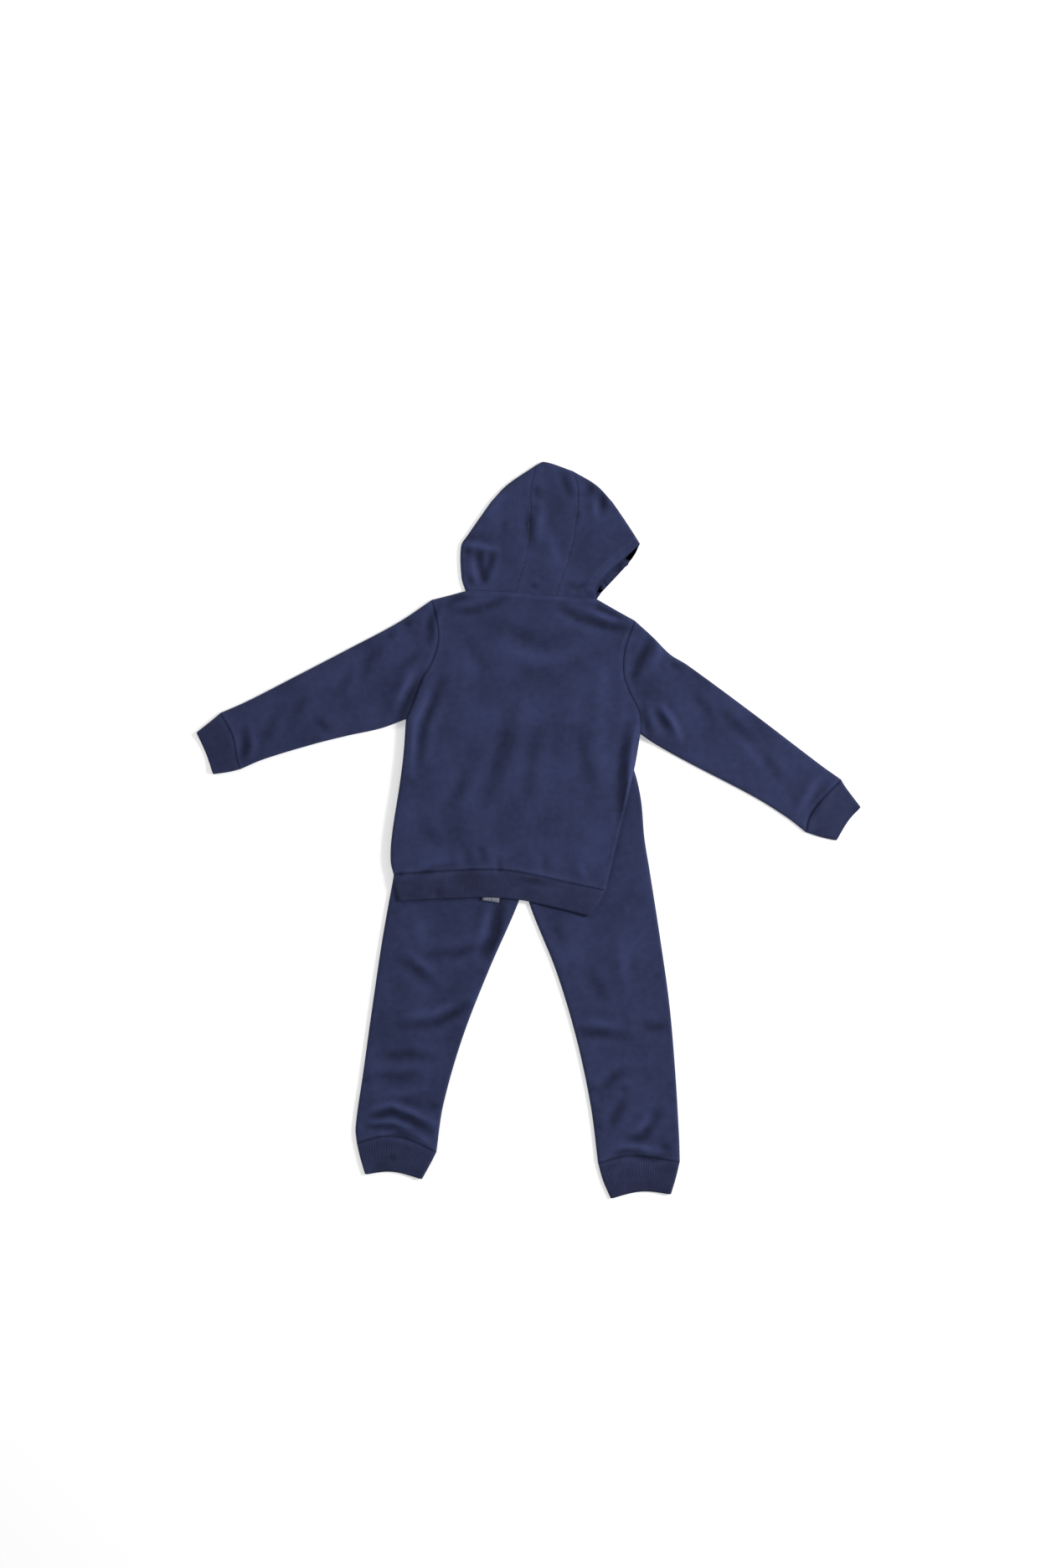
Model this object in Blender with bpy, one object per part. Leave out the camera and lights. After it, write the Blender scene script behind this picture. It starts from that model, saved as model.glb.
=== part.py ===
"""Child's tracksuit laid flat with its back up: a zipped hooded jacket over a pair of joggers.

The plan of every piece is drawn by a few points in millimetres, seen from above, with the hood
towards +Y. The cloth is a wall between two surfaces. Its height comes from the distance to the
garment's outline, where the cloth turns under, from what the garment lies on, and from its folds.
"""

import bmesh
import bpy
import numpy as np

MM = 0.001

# Driving dimensions, in millimetres
CLOTH = 2.0
GAP = 0.3
EDGE_HEIGHT = 4.2
EDGE_WIDTH = 4.6
FLAT_HEIGHT = 6.8
SETTLED = 30.0
FOLD_FADE = 16.0
DRAPE_START = 12.0
DRAPE_WIDTH = 60.0
CLEARANCE = 0.4
ZIP_HALF_WIDTH = 4.5
TAPE_WIDTH = 13.0
TAPE_THICKNESS = 1.0
TAPE_SHIFT = 0.3
TAPE_LIFT = 0.5
DEEPEST_FOLD = -1.0
SLIDER_THICKNESS = 1.9
EDGE_ROWS = (1.5, 4.6, 14.0)
CENTRE_X = -0.6
CENTRE_Y = -0.7

# Colours as hexadecimal sRGB values
NAVY = "2c3151"
RIB_NAVY = "282c48"
TAPE_GREY = "6d7180"
METAL_GREY = "b9bcc4"

# The jacket's plan: each line runs from the hem to the hood, from the left to the right of the
# page, or along a sleeve from the body outwards and across it from the underarm to the top
JACKET = {
    "rib_left": [(-201, -110.5), (-208.5, -78), (-209.5, -69)],
    "rib_right": [(95.6, -134), (109, -113), (118.5, -94)],
    "side_left": [(-209.5, -69), (-214, -50), (-212.6, -12), (-199.6, 74), (-194, 120), (-190.5, 171)],
    "side_right": [(118.5, -94), (137, -17), (163.2, 95), (172.5, 148)],
    "armhole_left": [(-190.5, 171), (-182.7, 190), (-165.8, 235), (-150.2, 261), (-140.4, 300), (-150.5, 356.4)],
    "armhole_right": [(172.5, 148), (172.3, 179), (154.1, 217), (146.3, 243), (148.9, 281), (164, 324.5)],
    "shoulder_left": [(-150.5, 356.4), (-125.5, 362.7), (-98.5, 370)],
    "shoulder_right": [(104.5, 358), (137.2, 339.3), (164, 324.5)],
    "neck_left": [(-98.5, 370), (-60, 370), (-22, 368)],
    "neck_middle": [(-22, 368), (7.2, 365.3), (40, 362.5)],
    "neck_right": [(40, 362.5), (72, 360), (104.5, 358)],
    "front_neck_left": [(-98.5, 370), (-75, 335), (-40, 317), (-5, 312)],
    "front_neck_right": [(5, 311), (45, 314), (85, 328), (104.5, 358)],
    "zip": [(-52.6, -61.5), (-1, 312)],
    "rib_zip": [(-58.5, -105), (-52.6, -61.5)],
    "sleeve_top_left": [(-150.5, 356.4), (-203.5, 321), (-281.5, 279.5), (-359.5, 239), (-437.5, 199), (-478.5, 181)],
    "sleeve_low_left": [(-190.5, 171), (-229.5, 157), (-281.5, 145.6), (-333.5, 132.6), (-411.5, 109), (-448, 93.5)],
    "sleeve_top_right": [(164, 324.5), (193, 298), (219, 272), (245, 256), (349, 179.4), (453, 100), (484, 78)],
    "sleeve_low_right": [(172.5, 148), (193, 134), (245, 105), (349, 50.7), (401, 18), (429, -4)],
    "wrist_seam_left": [(-448, 93.5), (-453, 110), (-459.6, 145), (-478.5, 181)],
    "wrist_seam_right": [(429, -4), (433.6, 17.6), (450.5, 43), (484, 78)],
    "wrist_top_left": [(-478.5, 181), (-489.5, 171.6), (-515.5, 150.8)],
    "wrist_low_left": [(-448, 93.5), (-463.5, 89.7), (-489.5, 85.8)],
    "wrist_top_right": [(484, 78), (491, 66.3), (514.5, 35)],
    "wrist_low_right": [(429, -4), (453, -11.7), (476.5, -17)],
    "wrist_end_left": [(-489.5, 85.8), (-501, 118.3), (-515.5, 150.8)],
    "wrist_end_right": [(476.5, -17), (496, 14.3), (514.5, 35)],
    "hood_left": [(-98.5, 370), (-104.7, 391), (-105.3, 440), (-95.6, 456), (-59.2, 508.3)],
    "hood_mouth": [(104.5, 358), (110, 378), (132, 404), (172.3, 443.3)],
    "hood_right": [(172.3, 443.3), (164.5, 456), (147.6, 482), (129.4, 508.3)],
    "crown_left": [(-59.2, 508.3), (-34.5, 534.3), (11, 565.5)],
    "crown_middle": [(11, 565.5), (24, 570.7), (68, 556.4)],
    "crown_right": [(68, 556.4), (104.7, 534.3), (129.4, 508.3)],
    "hood_seam_left": [(-22, 368), (-4, 430), (0.6, 482), (3, 528), (11, 565.5)],
    "hood_seam_right": [(40, 362.5), (63, 430), (73.5, 489), (76, 528), (68, 556.4)],
    "face_left": [(-5, 312), (-42, 372), (-50, 430), (-32, 482), (0, 512)],
    "face_middle": [(0, 512), (38, 519), (74, 508)],
    "face_right": [(5, 311), (82, 372), (114, 430), (108, 480), (74, 508)],
    "hood_under_left": [(0, 512), (3, 528), (11, 565.5)],
    "hood_under_right": [(74, 508), (76, 528), (68, 556.4)],
}

# The joggers' plan, from the ankles to the waist and from the left to the right of the page
JOGGERS = {
    "outer_left": [(-267, -486), (-269, -462), (-257, -376), (-242.5, -272), (-227, -168), (-208, -62)],
    "outer_right": [(234, -515), (233, -478), (227, -376), (218, -272), (203.5, -168), (187, -62)],
    "hip_left": [(-208, -62), (-203.5, -20), (-199, 30), (-193, 75), (-181, 108)],
    "hip_right": [(187, -62), (179, -12), (174, 45), (163.2, 92), (152, 110)],
    "inseam_left": [(-143.5, -500), (-133, -428), (-103.4, -324), (-63, -220), (-17.6, -116), (-6, -77)],
    "inseam_right": [(107, -517), (95.6, -428), (73.5, -324), (42.3, -220), (1, -116), (-6, -77)],
    "centre": [(-6, -77), (-9, 0), (-14, 109)],
    "waist_left": [(-181, 108), (-100, 110), (-14, 109)],
    "waist_right": [(-14, 109), (70, 110), (152, 110)],
    "band_left": [(-181, 108), (-176, 143)],
    "band_right": [(152, 110), (147, 145)],
    "band_end_left": [(-176, 143), (-100, 145), (-14, 144)],
    "band_end_right": [(-14, 144), (70, 145), (147, 145)],
    "cuff_seam_left": [(-267, -486), (-229.5, -476), (-197, -477), (-164.5, -490), (-143.5, -500)],
    "cuff_seam_right": [(107, -517), (150, -506), (190, -509), (234, -515)],
    "cuff_outer_left": [(-254.2, -534.3), (-262, -508), (-267, -486)],
    "cuff_outer_right": [(220.4, -565.5), (228, -540), (234, -515)],
    "cuff_inner_left": [(-165.8, -542), (-152, -517), (-143.5, -500)],
    "cuff_inner_right": [(126.8, -572), (115, -545), (107, -517)],
    "cuff_end_left": [(-254.2, -534.3), (-212, -531), (-165.8, -542)],
    "cuff_end_right": [(126.8, -572), (174, -561.6), (220.4, -565.5)],
}

# Largest folds: the two ends of each fold's line, its half width and its height, troughs negative
FOLD_COLUMNS = ("x0", "y0", "x1", "y1", "half_width", "height")
JACKET_FOLDS = [
    (-104, 442, -51, 436, 12, 2.4),
    (-72, 428, -62, 392, 14, -1.5),
    (1, 490, 3, 436, 11, -1.5),
    (112, 512, 126, 480, 11, -1.5),
    (48, 345, 160, 311, 11, -1.5),
    (70, 352, 140, 330, 12, 2.2),
    (-163, 205, -178, 95, 12, 2.4),
    (-140, 225, -172, 108, 10, -1.4),
    (152, 157, 142, 20, 10, -1.5),
    (-26, 183, -72, 34, 16, -0.5),
    (-158, 345, -150, 290, 12, -1.5),
    (-165, 236, -196, 172, 12, -1.5),
    (186, 292, 160, 235, 13, -1.5),
    (206, 190, 236, 144, 13, 2.6),
    (466, 64, 438, 22, 10, -1.2),
]
JOGGERS_FOLDS = [
    (-46, -116, -66, -194, 13, -1.5),
    (-155, -196, -66, -182, 12, -1.4),
    (-204, -205, -145, -245, 13, -1.4),
    (-196, -304, -98, -272, 13, -1.4),
    (-230, -352, -144, -354, 12, -1.4),
    (-248, -384, -172, -382, 12, -1.4),
    (-238, -444, -158, -464, 10, -1.5),
    (-250, -455, -150, -452, 10, 2.4),
    (72, -316, 150, -320, 13, -1.4),
    (116, -400, 148, -374, 12, -1.4),
    (130, -460, 208, -440, 13, -1.4),
    (128, -490, 216, -488, 10, 2.2),
]


# Spans of each sampled line, and whether they are closer together at its start and at its end
SPAN_COLUMNS = ("spans", "dense_start", "dense_end")
SPANS = {
    "side": (10, False, False), "armhole": (8, True, True), "hem": (18, True, True),
    "rib_end": (18, True, True), "rib": (2, False, False),
    "sleeve": (9, False, False), "wrist_seam": (8, True, True), "wrist_end": (8, True, True),
    "wrist": (2, False, False), "cuff_seam": (4, True, True), "cuff_end": (4, True, True),
    "cuff": (2, False, False), "hood": (7, False, True), "hood_mouth": (4, False, False),
    "hood_right": (3, False, True), "hood_under": (3, False, True), "face_middle": (4, False, False),
    "neck_middle": (4, False, False), "crown_middle": (4, False, False),
    "outer": (10, False, False), "inseam": (10, False, False), "hip": (4, False, False),
    "centre": (4, False, False), "waist": (4, True, True), "band_end": (4, True, True),
    "band": (2, False, False),
}
# Lines whose dense end is the one on the left of the page, or the one on the right
SPANS_BY_SIDE = {"shoulder": 2, "neck": 2, "front_neck": 3, "crown": 2, "hem": 8, "rib_end": 8}


class Line:
    """A smooth line through a few plan points, read by the distance along it."""

    def __init__(self, points, per_span=24):
        p = np.array(points, float)
        chord = np.linalg.norm(np.diff(p, axis=0), axis=1)
        slope = np.empty_like(p)
        slope[0] = (p[1] - p[0]) / chord[0]
        slope[-1] = (p[-1] - p[-2]) / chord[-1]
        slope[1:-1] = (p[2:] - p[:-2]) / (chord[1:] + chord[:-1])[:, None]
        t = (np.arange(per_span) / per_span)[:, None]
        spans = [
            (1 + 2 * t) * (1 - t) ** 2 * p[i] + t * (1 - t) ** 2 * c * slope[i]
            + t * t * (3 - 2 * t) * p[i + 1] - t * t * (1 - t) * c * slope[i + 1]
            for i, c in enumerate(chord)
        ]
        self.points = np.vstack(spans + [p[-1:]])
        self.along = np.concatenate([[0], np.cumsum(np.linalg.norm(np.diff(self.points, axis=0), axis=1))])

    def sample(self, spans, dense_start=False, dense_end=False):
        """Points along the line, closer together towards an end that lies on an outline."""
        length = self.along[-1]
        rows = np.array(EDGE_ROWS)
        first = rows[-1] if dense_start else 0
        last = length - rows[-1] if dense_end else length
        places = np.linspace(first, last, spans + 1)
        if dense_start:
            places = np.concatenate([[0], rows[:-1], places])
        if dense_end:
            places = np.concatenate([places, length - rows[-2::-1], [length]])
        x = np.interp(places, self.along, self.points[:, 0])
        y = np.interp(places, self.along, self.points[:, 1])
        return np.stack([x, y], axis=1)


def chain(*lines):
    """Sampled lines joined end to end, each shared point once."""
    return np.vstack([lines[0]] + [line[1:] for line in lines[1:]])


def shifted(line, offset):
    """A sampled line moved sideways, to the right of its direction."""
    step = np.gradient(line, axis=0)
    side = np.stack([step[:, 1], -step[:, 0]], axis=1)
    return line + unit(side) * offset


def shares(a, b):
    """Mean share of the length reached at each point of two sampled lines."""
    parts = []
    for line in (a, b):
        along = np.concatenate([[0], np.cumsum(np.linalg.norm(np.diff(line, axis=0), axis=1))])
        parts.append(along / along[-1])
    return (parts[0] + parts[1]) / 2


def patch(left, right, bottom, top):
    """Grid of plan points filling four sampled sides: rows go up, columns go right."""
    u = shares(left, right)[:, None, None]
    v = shares(bottom, top)[None, :, None]
    across = (1 - v) * left[:, None] + v * right[:, None]
    upward = (1 - u) * bottom[None] + u * top[None]
    corners = (
        (1 - u) * (1 - v) * bottom[0] + (1 - u) * v * bottom[-1]
        + u * (1 - v) * top[0] + u * v * top[-1]
    )
    return across + upward - corners


def ease(t):
    """Smooth step from 0 to 1."""
    t = np.clip(t, 0, 1)
    return t * t * (3 - 2 * t)


def distance(plan, lines):
    """Shortest distance from each plan point to a set of polylines."""
    flat = plan.reshape(-1, 2)
    best = np.full(len(flat), np.inf)
    for points in lines:
        a = points[:-1]
        b = points[1:] - a
        rel = flat[:, None] - a[None]
        t = np.clip((rel * b).sum(2) / np.maximum((b * b).sum(1), 1e-9), 0, 1)
        gap = rel - t[..., None] * b
        best = np.minimum(best, np.sqrt((gap * gap).sum(2)).min(1))
    return best.reshape(plan.shape[:-1])


def inside(plan, ring):
    """Whether each plan point lies inside a closed ring of points."""
    flat = plan.reshape(-1, 2)
    a = ring
    b = np.roll(ring, -1, axis=0)
    crosses = (a[:, 1] > flat[:, None, 1]) != (b[:, 1] > flat[:, None, 1])
    rise = np.where(b[:, 1] == a[:, 1], 1e-9, b[:, 1] - a[:, 1])
    where = a[:, 0] + (flat[:, None, 1] - a[:, 1]) * (b[:, 0] - a[:, 0]) / rise
    hits = (crosses & (flat[:, None, 0] < where)).sum(1)
    return (hits % 2 == 1).reshape(plan.shape[:-1])


class Garment:
    """Height of a garment's layers over the plan."""

    def __init__(self, plan, outline, folds, under=None):
        self.lines = {name: Line(points) for name, points in plan.items()}
        self.outline = [np.vstack([self.lines[n].points[::s] for n, s in run]) for run in outline]
        self.folds = folds
        self.under = under

    def sample(self, name):
        """A line's points, always at the same places, so that sewn pieces share them."""
        if name in SPANS:
            return self.lines[name].sample(*SPANS[name])
        kind, _, side = name.rpartition("_")
        if kind in SPANS_BY_SIDE:
            return self.lines[name].sample(SPANS_BY_SIDE[kind], side == "left", side == "right")
        while kind not in SPANS:
            kind = kind.rpartition("_")[0]
        return self.lines[name].sample(*SPANS[kind])

    def base(self, plan):
        """Height of what the garment lies on."""
        return self.under.cover(plan) if self.under else np.zeros(plan.shape[:-1])

    def fold(self, plan):
        """Height that the folds add."""
        total = np.zeros(plan.shape[:-1])
        for x0, y0, x1, y1, half_width, height in self.folds:
            a = np.array([x0, y0], float)
            b = np.array([x1, y1], float) - a
            t = ((plan - a) @ b) / (b @ b)
            off = plan - a - np.clip(t, 0, 1)[..., None] * b
            total += height * np.exp(-(off * off).sum(-1) / half_width ** 2)
        return np.maximum(total, DEEPEST_FOLD)

    def upper(self, plan):
        """Top of the upper layer."""
        depth = distance(plan, self.outline)
        rounded = EDGE_HEIGHT * (2 - (1 - np.clip(depth / EDGE_WIDTH, 0, 1)) ** 2)
        settled = (2 * EDGE_HEIGHT - FLAT_HEIGHT) * ease((depth - EDGE_WIDTH) / SETTLED)
        return self.base(plan) + rounded - settled + self.fold(plan) * ease(depth / FOLD_FADE)

    def lower(self, plan):
        """Underside of the lower layer, flat except at the outline."""
        depth = distance(plan, self.outline)
        return self.base(plan) + EDGE_HEIGHT * (1 - np.clip(depth / EDGE_WIDTH, 0, 1)) ** 2

    def cover(self, plan):
        """Height of a second garment lying over this one and coming down beside it."""
        away = distance(plan, [np.vstack([self.ring, self.ring[:1]])])
        away = np.where(inside(plan, self.ring), 0, away)
        drop = ease((away - DRAPE_START) / DRAPE_WIDTH)
        return (2 * EDGE_HEIGHT + CLEARANCE) * (1 - drop)


def surface_normals(height, plan):
    """Upward unit normals of a height over the plan."""
    step = 0.4
    east = np.array([step, 0.0])
    north = np.array([0.0, step])
    dx = (height(plan + east) - height(plan - east)) / (2 * step)
    dy = (height(plan + north) - height(plan - north)) / (2 * step)
    return unit(np.stack([-dx, -dy, np.ones_like(dx)], axis=-1))


def unit(steps):
    """Steps brought to a length of one."""
    return steps / np.linalg.norm(steps, axis=-1, keepdims=True)


def inward(plan, marks):
    """Plan directions from marked outline points to the inside of the grid."""
    rows, columns = marks.shape
    result = np.zeros(plan.shape)
    for i, j in zip(*np.nonzero(marks)):
        near = [(i, j + 1), (i, j - 1), (i + 1, j), (i - 1, j)]
        near += [(i + a, j + b) for a in (-1, 1) for b in (-1, 1)]
        free = [(a, b) for a, b in near if 0 <= a < rows and 0 <= b < columns and not marks[a, b]]
        result[i, j] = unit(plan[free[0]] - plan[i, j])
    return result


class Cloth:
    """A piece of cloth: quads over outer points, each with an inner point behind it."""

    def __init__(self, name):
        self.name = name
        self.outer = np.zeros((0, 3))
        self.inner = np.zeros((0, 3))
        self.quads = []

    def add(self, garment, plan, side, marks, seams, gap=GAP / 2):
        """Add a layer over a plan grid. side is 1 for the upper layer and -1 for the lower one.

        marks has True at the points on the outline, gap parts them from the other layer there,
        and each seam is a run of border points with the run beside it, towards which it is drawn.
        """
        height = garment.upper if side > 0 else garment.lower
        z = np.where(marks, garment.base(plan) + EDGE_HEIGHT + side * gap, height(plan))
        push = -side * CLOTH * surface_normals(height, plan)
        back = plan.copy()
        for border, beside in seams:
            back[border] += unit(plan[beside] - plan[border]) * GAP / 2
            along = unit(np.gradient(plan[border], axis=0))
            push[border][..., :2] = along * (push[border][..., :2] * along).sum(-1, keepdims=True)
        outer = np.concatenate([back, z[..., None]], axis=-1)
        flat = np.concatenate([inward(plan, marks), np.zeros(marks.shape + (1,))], axis=-1)
        inner = outer + np.where(marks[..., None], CLOTH * flat, push)
        index = np.arange(marks.size).reshape(marks.shape) + len(self.outer)
        self.outer = np.vstack([self.outer, outer.reshape(-1, 3)])
        self.inner = np.vstack([self.inner, inner.reshape(-1, 3)])
        return index

    def face(self, index):
        """Cover an index grid with quads."""
        for i in range(index.shape[0] - 1):
            for j in range(index.shape[1] - 1):
                self.quads.append((index[i, j], index[i, j + 1], index[i + 1, j + 1], index[i + 1, j]))

    def build(self, colour, roughness=0.95):
        """Close the wall along its free edges and make the object."""
        count = len(self.outer)
        uses = {}
        for quad in self.quads:
            for a, b in zip(quad, quad[1:] + quad[:1]):
                uses.setdefault(frozenset((a, b)), []).append((a, b))
        rims = [(b, a, a + count, b + count) for [(a, b), *rest] in uses.values() if not rest]
        walls = self.quads + [tuple(i + count for i in reversed(q)) for q in self.quads] + rims
        points = np.vstack([self.outer, self.inner]) - (CENTRE_X, CENTRE_Y, 0)
        mesh = bpy.data.meshes.new(self.name)
        mesh.from_pydata((points * MM).tolist(), [], [[int(i) for i in w] for w in walls])
        work = bmesh.new()
        work.from_mesh(mesh)
        loose = [v for v in work.verts if not v.link_faces]
        bmesh.ops.delete(work, geom=loose, context="VERTS")
        bmesh.ops.recalc_face_normals(work, faces=work.faces)
        work.to_mesh(mesh)
        work.free()
        mesh.shade_smooth()
        place(self.name, mesh, colour, roughness)


def place(name, mesh, colour, roughness=0.95, metallic=0.0):
    """Link a mesh as one named piece with its own material."""
    material = bpy.data.materials.new(name + "_finish")
    material.use_nodes = True
    shader = material.node_tree.nodes["Principled BSDF"]
    shader.inputs["Base Color"].default_value = linear(colour)
    shader.inputs["Roughness"].default_value = roughness
    shader.inputs["Metallic"].default_value = metallic
    mesh.materials.clear()
    mesh.materials.append(material)
    piece = bpy.data.objects.new(name, mesh)
    bpy.data.collections[COLLECTION].objects.link(piece)
    return piece


def linear(colour):
    """Linear colour of a hexadecimal sRGB value."""
    parts = [int(colour[i:i + 2], 16) / 255 for i in (0, 2, 4)]
    return [p / 12.92 if p <= 0.04045 else ((p + 0.055) / 1.055) ** 2.4 for p in parts] + [1]


COLLECTION = "tracksuit"


def marked(plan, left=False, right=False, bottom=False, top=False):
    """Marks for the sides of a grid on the outline: True, or a slice of the side."""
    marks = np.zeros(plan.shape[:2], bool)
    for side, column in ((left, 0), (right, -1)):
        if side is not False:
            marks[slice(None) if side is True else side, column] = True
    for side, row in ((bottom, 0), (top, -1)):
        if side is not False:
            marks[row, slice(None) if side is True else side] = True
    return marks


LEFT_SEAM = (np.s_[:, 0], np.s_[:, 1])
RIGHT_SEAM = (np.s_[:, -1], np.s_[:, -2])
LOW_SEAM = (np.s_[0, :], np.s_[1, :])
HIGH_SEAM = (np.s_[-1, :], np.s_[-2, :])


def panel(name, garment, plan, side, marks, seams, colour=NAVY):
    """A flat-cut panel of one layer."""
    cloth = Cloth(name)
    cloth.face(cloth.add(garment, plan, side, marks, seams))
    cloth.build(colour)


def tube(name, garment, plan, seams, colour=NAVY):
    """A flattened tube whose first and last grid columns are its two edges."""
    marks = marked(plan, left=True, right=True)
    cloth = Cloth(name)
    over = cloth.add(garment, plan, 1, marks, seams, gap=0)
    below = cloth.add(garment, plan, -1, marks, seams, gap=0)
    below[:, 0] = over[:, 0]
    below[:, -1] = over[:, -1]
    cloth.face(over)
    cloth.face(below)
    cloth.build(colour)


def make_joggers(g):
    """Back and front of each leg, the waistband and the two ankle cuffs."""
    for word in ("left", "right"):
        start = word == "left"
        leg = g.sample("outer_" + word), g.sample("inseam_" + word)
        crotch = len(leg[1]) - 1
        outer, inner = chain(leg[0], g.sample("hip_" + word)), chain(leg[1], g.sample("centre"))
        hem = g.sample("cuff_seam_" + word)
        plan = patch(*((outer, inner) if start else (inner, outer)), hem, g.sample("waist_" + word))
        inseam = slice(0, crotch + 1)
        marks = marked(plan, left=start or inseam, right=not start or inseam)
        column, beside = (-1, -2) if start else (0, 1)
        centre = (np.s_[crotch:, column], np.s_[crotch:, beside])
        for layer, side in (("back", 1), ("front", -1)):
            panel(f"joggers_{layer}_{word}", g, plan, side, marks, (LOW_SEAM, HIGH_SEAM, centre))
        edges = g.sample("cuff_outer_" + word), g.sample("cuff_inner_" + word)
        plan = patch(*(edges if start else edges[::-1]), g.sample("cuff_end_" + word), hem)
        tube("ankle_cuff_" + word, g, plan, (HIGH_SEAM,), RIB_NAVY)
    seam = chain(g.sample("waist_left"), g.sample("waist_right"))
    end = chain(g.sample("band_end_left"), g.sample("band_end_right"))
    tube("waistband", g, patch(g.sample("band_left"), g.sample("band_right"), seam, end), (LOW_SEAM,))


def make_body(g):
    """Back, two fronts, hem rib and zip."""
    left = chain(g.sample("side_left"), g.sample("armhole_left"))
    right = chain(g.sample("side_right"), g.sample("armhole_right"))
    shoulder = {word: g.sample("shoulder_" + word) for word in ("left", "right")}
    neck = [g.sample(name) for name in ("neck_left", "neck_middle", "neck_right")]
    hem = g.sample("hem")
    underarm = len(g.sample("side_left")) - 1
    tip = len(shoulder["left"])
    arm_left = (np.s_[underarm:, 0], np.s_[underarm:, 1])
    arm_right = (np.s_[underarm:, -1], np.s_[underarm:, -2])
    side_seam = slice(0, underarm + 1)

    plan = patch(left, right, hem, chain(shoulder["left"], *neck, shoulder["right"]))
    marks = marked(plan, left=side_seam, right=side_seam, top=slice(0, tip))
    marks |= marked(plan, top=slice(-tip, None))
    middle = slice(tip - 1, plan.shape[1] - tip + 1)
    collar = (np.s_[-1, middle], np.s_[-2, middle])
    panel("jacket_back", g, plan, 1, marks, (LOW_SEAM, arm_left, arm_right, collar))

    zip_line = g.lines["zip"].sample(len(left) - 1)
    for word, edge, sign in (("left", left, -1), ("right", right, 1)):
        start = word == "left"
        near = -1 if start else 0
        seam = shifted(zip_line, sign * ZIP_HALF_WIDTH)
        share = g.sample("hem_" + word)
        crest = [shoulder[word], g.sample("front_neck_" + word)]
        crest = chain(*(crest if start else crest[::-1]))
        share[near] = seam[0]
        seam[-1] = crest[near]
        plan = patch(*((edge, seam) if start else (seam, edge)), share, crest)
        top = slice(0, tip) if start else slice(-tip, None)
        marks = marked(plan, left=start and side_seam, right=not start and side_seam, top=top)
        run = slice(tip - 1, None) if start else slice(0, plan.shape[1] - tip + 1)
        collar = (np.s_[-1, run], np.s_[-2, run])
        seams = (LOW_SEAM, arm_left if start else arm_right, collar)
        panel("jacket_front_" + word, g, plan, -1, marks, seams)
    make_rib(g, hem)
    make_zip(g, zip_line)


def make_rib(g, hem):
    """Hem rib: one band behind and one on each side of the zip in front."""
    left, right = g.sample("rib_left"), g.sample("rib_right")
    plan = patch(left, right, g.sample("rib_end"), hem)
    panel("hem_rib_back", g, plan, 1, marked(plan, left=True, right=True), (HIGH_SEAM,), RIB_NAVY)
    for word, edge, sign in (("left", left, -1), ("right", right, 1)):
        start = word == "left"
        near = -1 if start else 0
        seam = shifted(g.sample("rib_zip"), sign * ZIP_HALF_WIDTH)
        low, high = g.sample("rib_end_" + word), g.sample("hem_" + word)
        low[near] = seam[0]
        high[near] = seam[-1] = shifted(g.lines["zip"].sample(1), sign * ZIP_HALF_WIDTH)[0]
        plan = patch(*((edge, seam) if start else (seam, edge)), low, high)
        marks = marked(plan, left=start, right=not start)
        panel("hem_rib_front_" + word, g, plan, -1, marks, (HIGH_SEAM,), RIB_NAVY)


def make_zip(g, zip_line):
    """The two tapes inside the fronts, the slider at the neck and the end box at the hem."""
    line = chain(g.sample("rib_zip"), zip_line)
    for word, sign in (("left", -1), ("right", 1)):
        near = shifted(line, sign * TAPE_SHIFT)
        far = shifted(line, sign * TAPE_WIDTH)
        plan = np.stack([far, near] if sign < 0 else [near, far], axis=1)
        z = g.lower(plan) + CLOTH + TAPE_LIFT
        cloth = Cloth("zip_tape_" + word)
        cloth.outer = np.concatenate([plan, z[..., None]], axis=-1).reshape(-1, 3)
        cloth.inner = cloth.outer + (0, 0, TAPE_THICKNESS)
        cloth.face(np.arange(plan.shape[0] * 2).reshape(-1, 2))
        cloth.build(TAPE_GREY, 0.8)
    ride = zip_line[-1] - zip_line[0]
    heading = np.arctan2(ride[1], ride[0]) - np.pi / 2
    flat_piece("zip_slider", SLIDER_OUTLINE, SLIDER_THICKNESS, zip_line[-1], heading, 0.0)
    foot = line[0]
    rest = float(g.lower(foot[None])[0])
    flat_piece("zip_box", BOX_OUTLINE, SLIDER_THICKNESS, foot, heading, rest)


# Outlines of the hard pieces of the zip, half of each, from the axis outwards; +Y is towards the neck
SLIDER_OUTLINE = [(2.2, -34), (2.2, -17), (1.2, -15), (3.8, -12), (3.8, -5), (2.6, -2)]
BOX_OUTLINE = [(3.6, -4.5), (3.6, 5.0)]


def flat_piece(name, half, thickness, at, heading, z):
    """A flat hard piece from half an outline, its underside at the height z."""
    outline = [(-x, y) for x, y in half] + [(x, y) for x, y in half[::-1]]
    turn = np.array([[np.cos(heading), -np.sin(heading)], [np.sin(heading), np.cos(heading)]])
    points = (np.array(outline) @ turn.T + at - (CENTRE_X, CENTRE_Y)) * MM
    work = bmesh.new()
    face = work.faces.new([work.verts.new((x, y, z * MM)) for x, y in points])
    grown = bmesh.ops.extrude_face_region(work, geom=[face])
    tops = [e for e in grown["geom"] if isinstance(e, bmesh.types.BMVert)]
    bmesh.ops.translate(work, verts=tops, vec=(0, 0, thickness * MM))
    bmesh.ops.recalc_face_normals(work, faces=work.faces)
    mesh = bpy.data.meshes.new(name)
    work.to_mesh(mesh)
    work.free()
    place(name, mesh, METAL_GREY, roughness=0.35, metallic=1.0)


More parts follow.
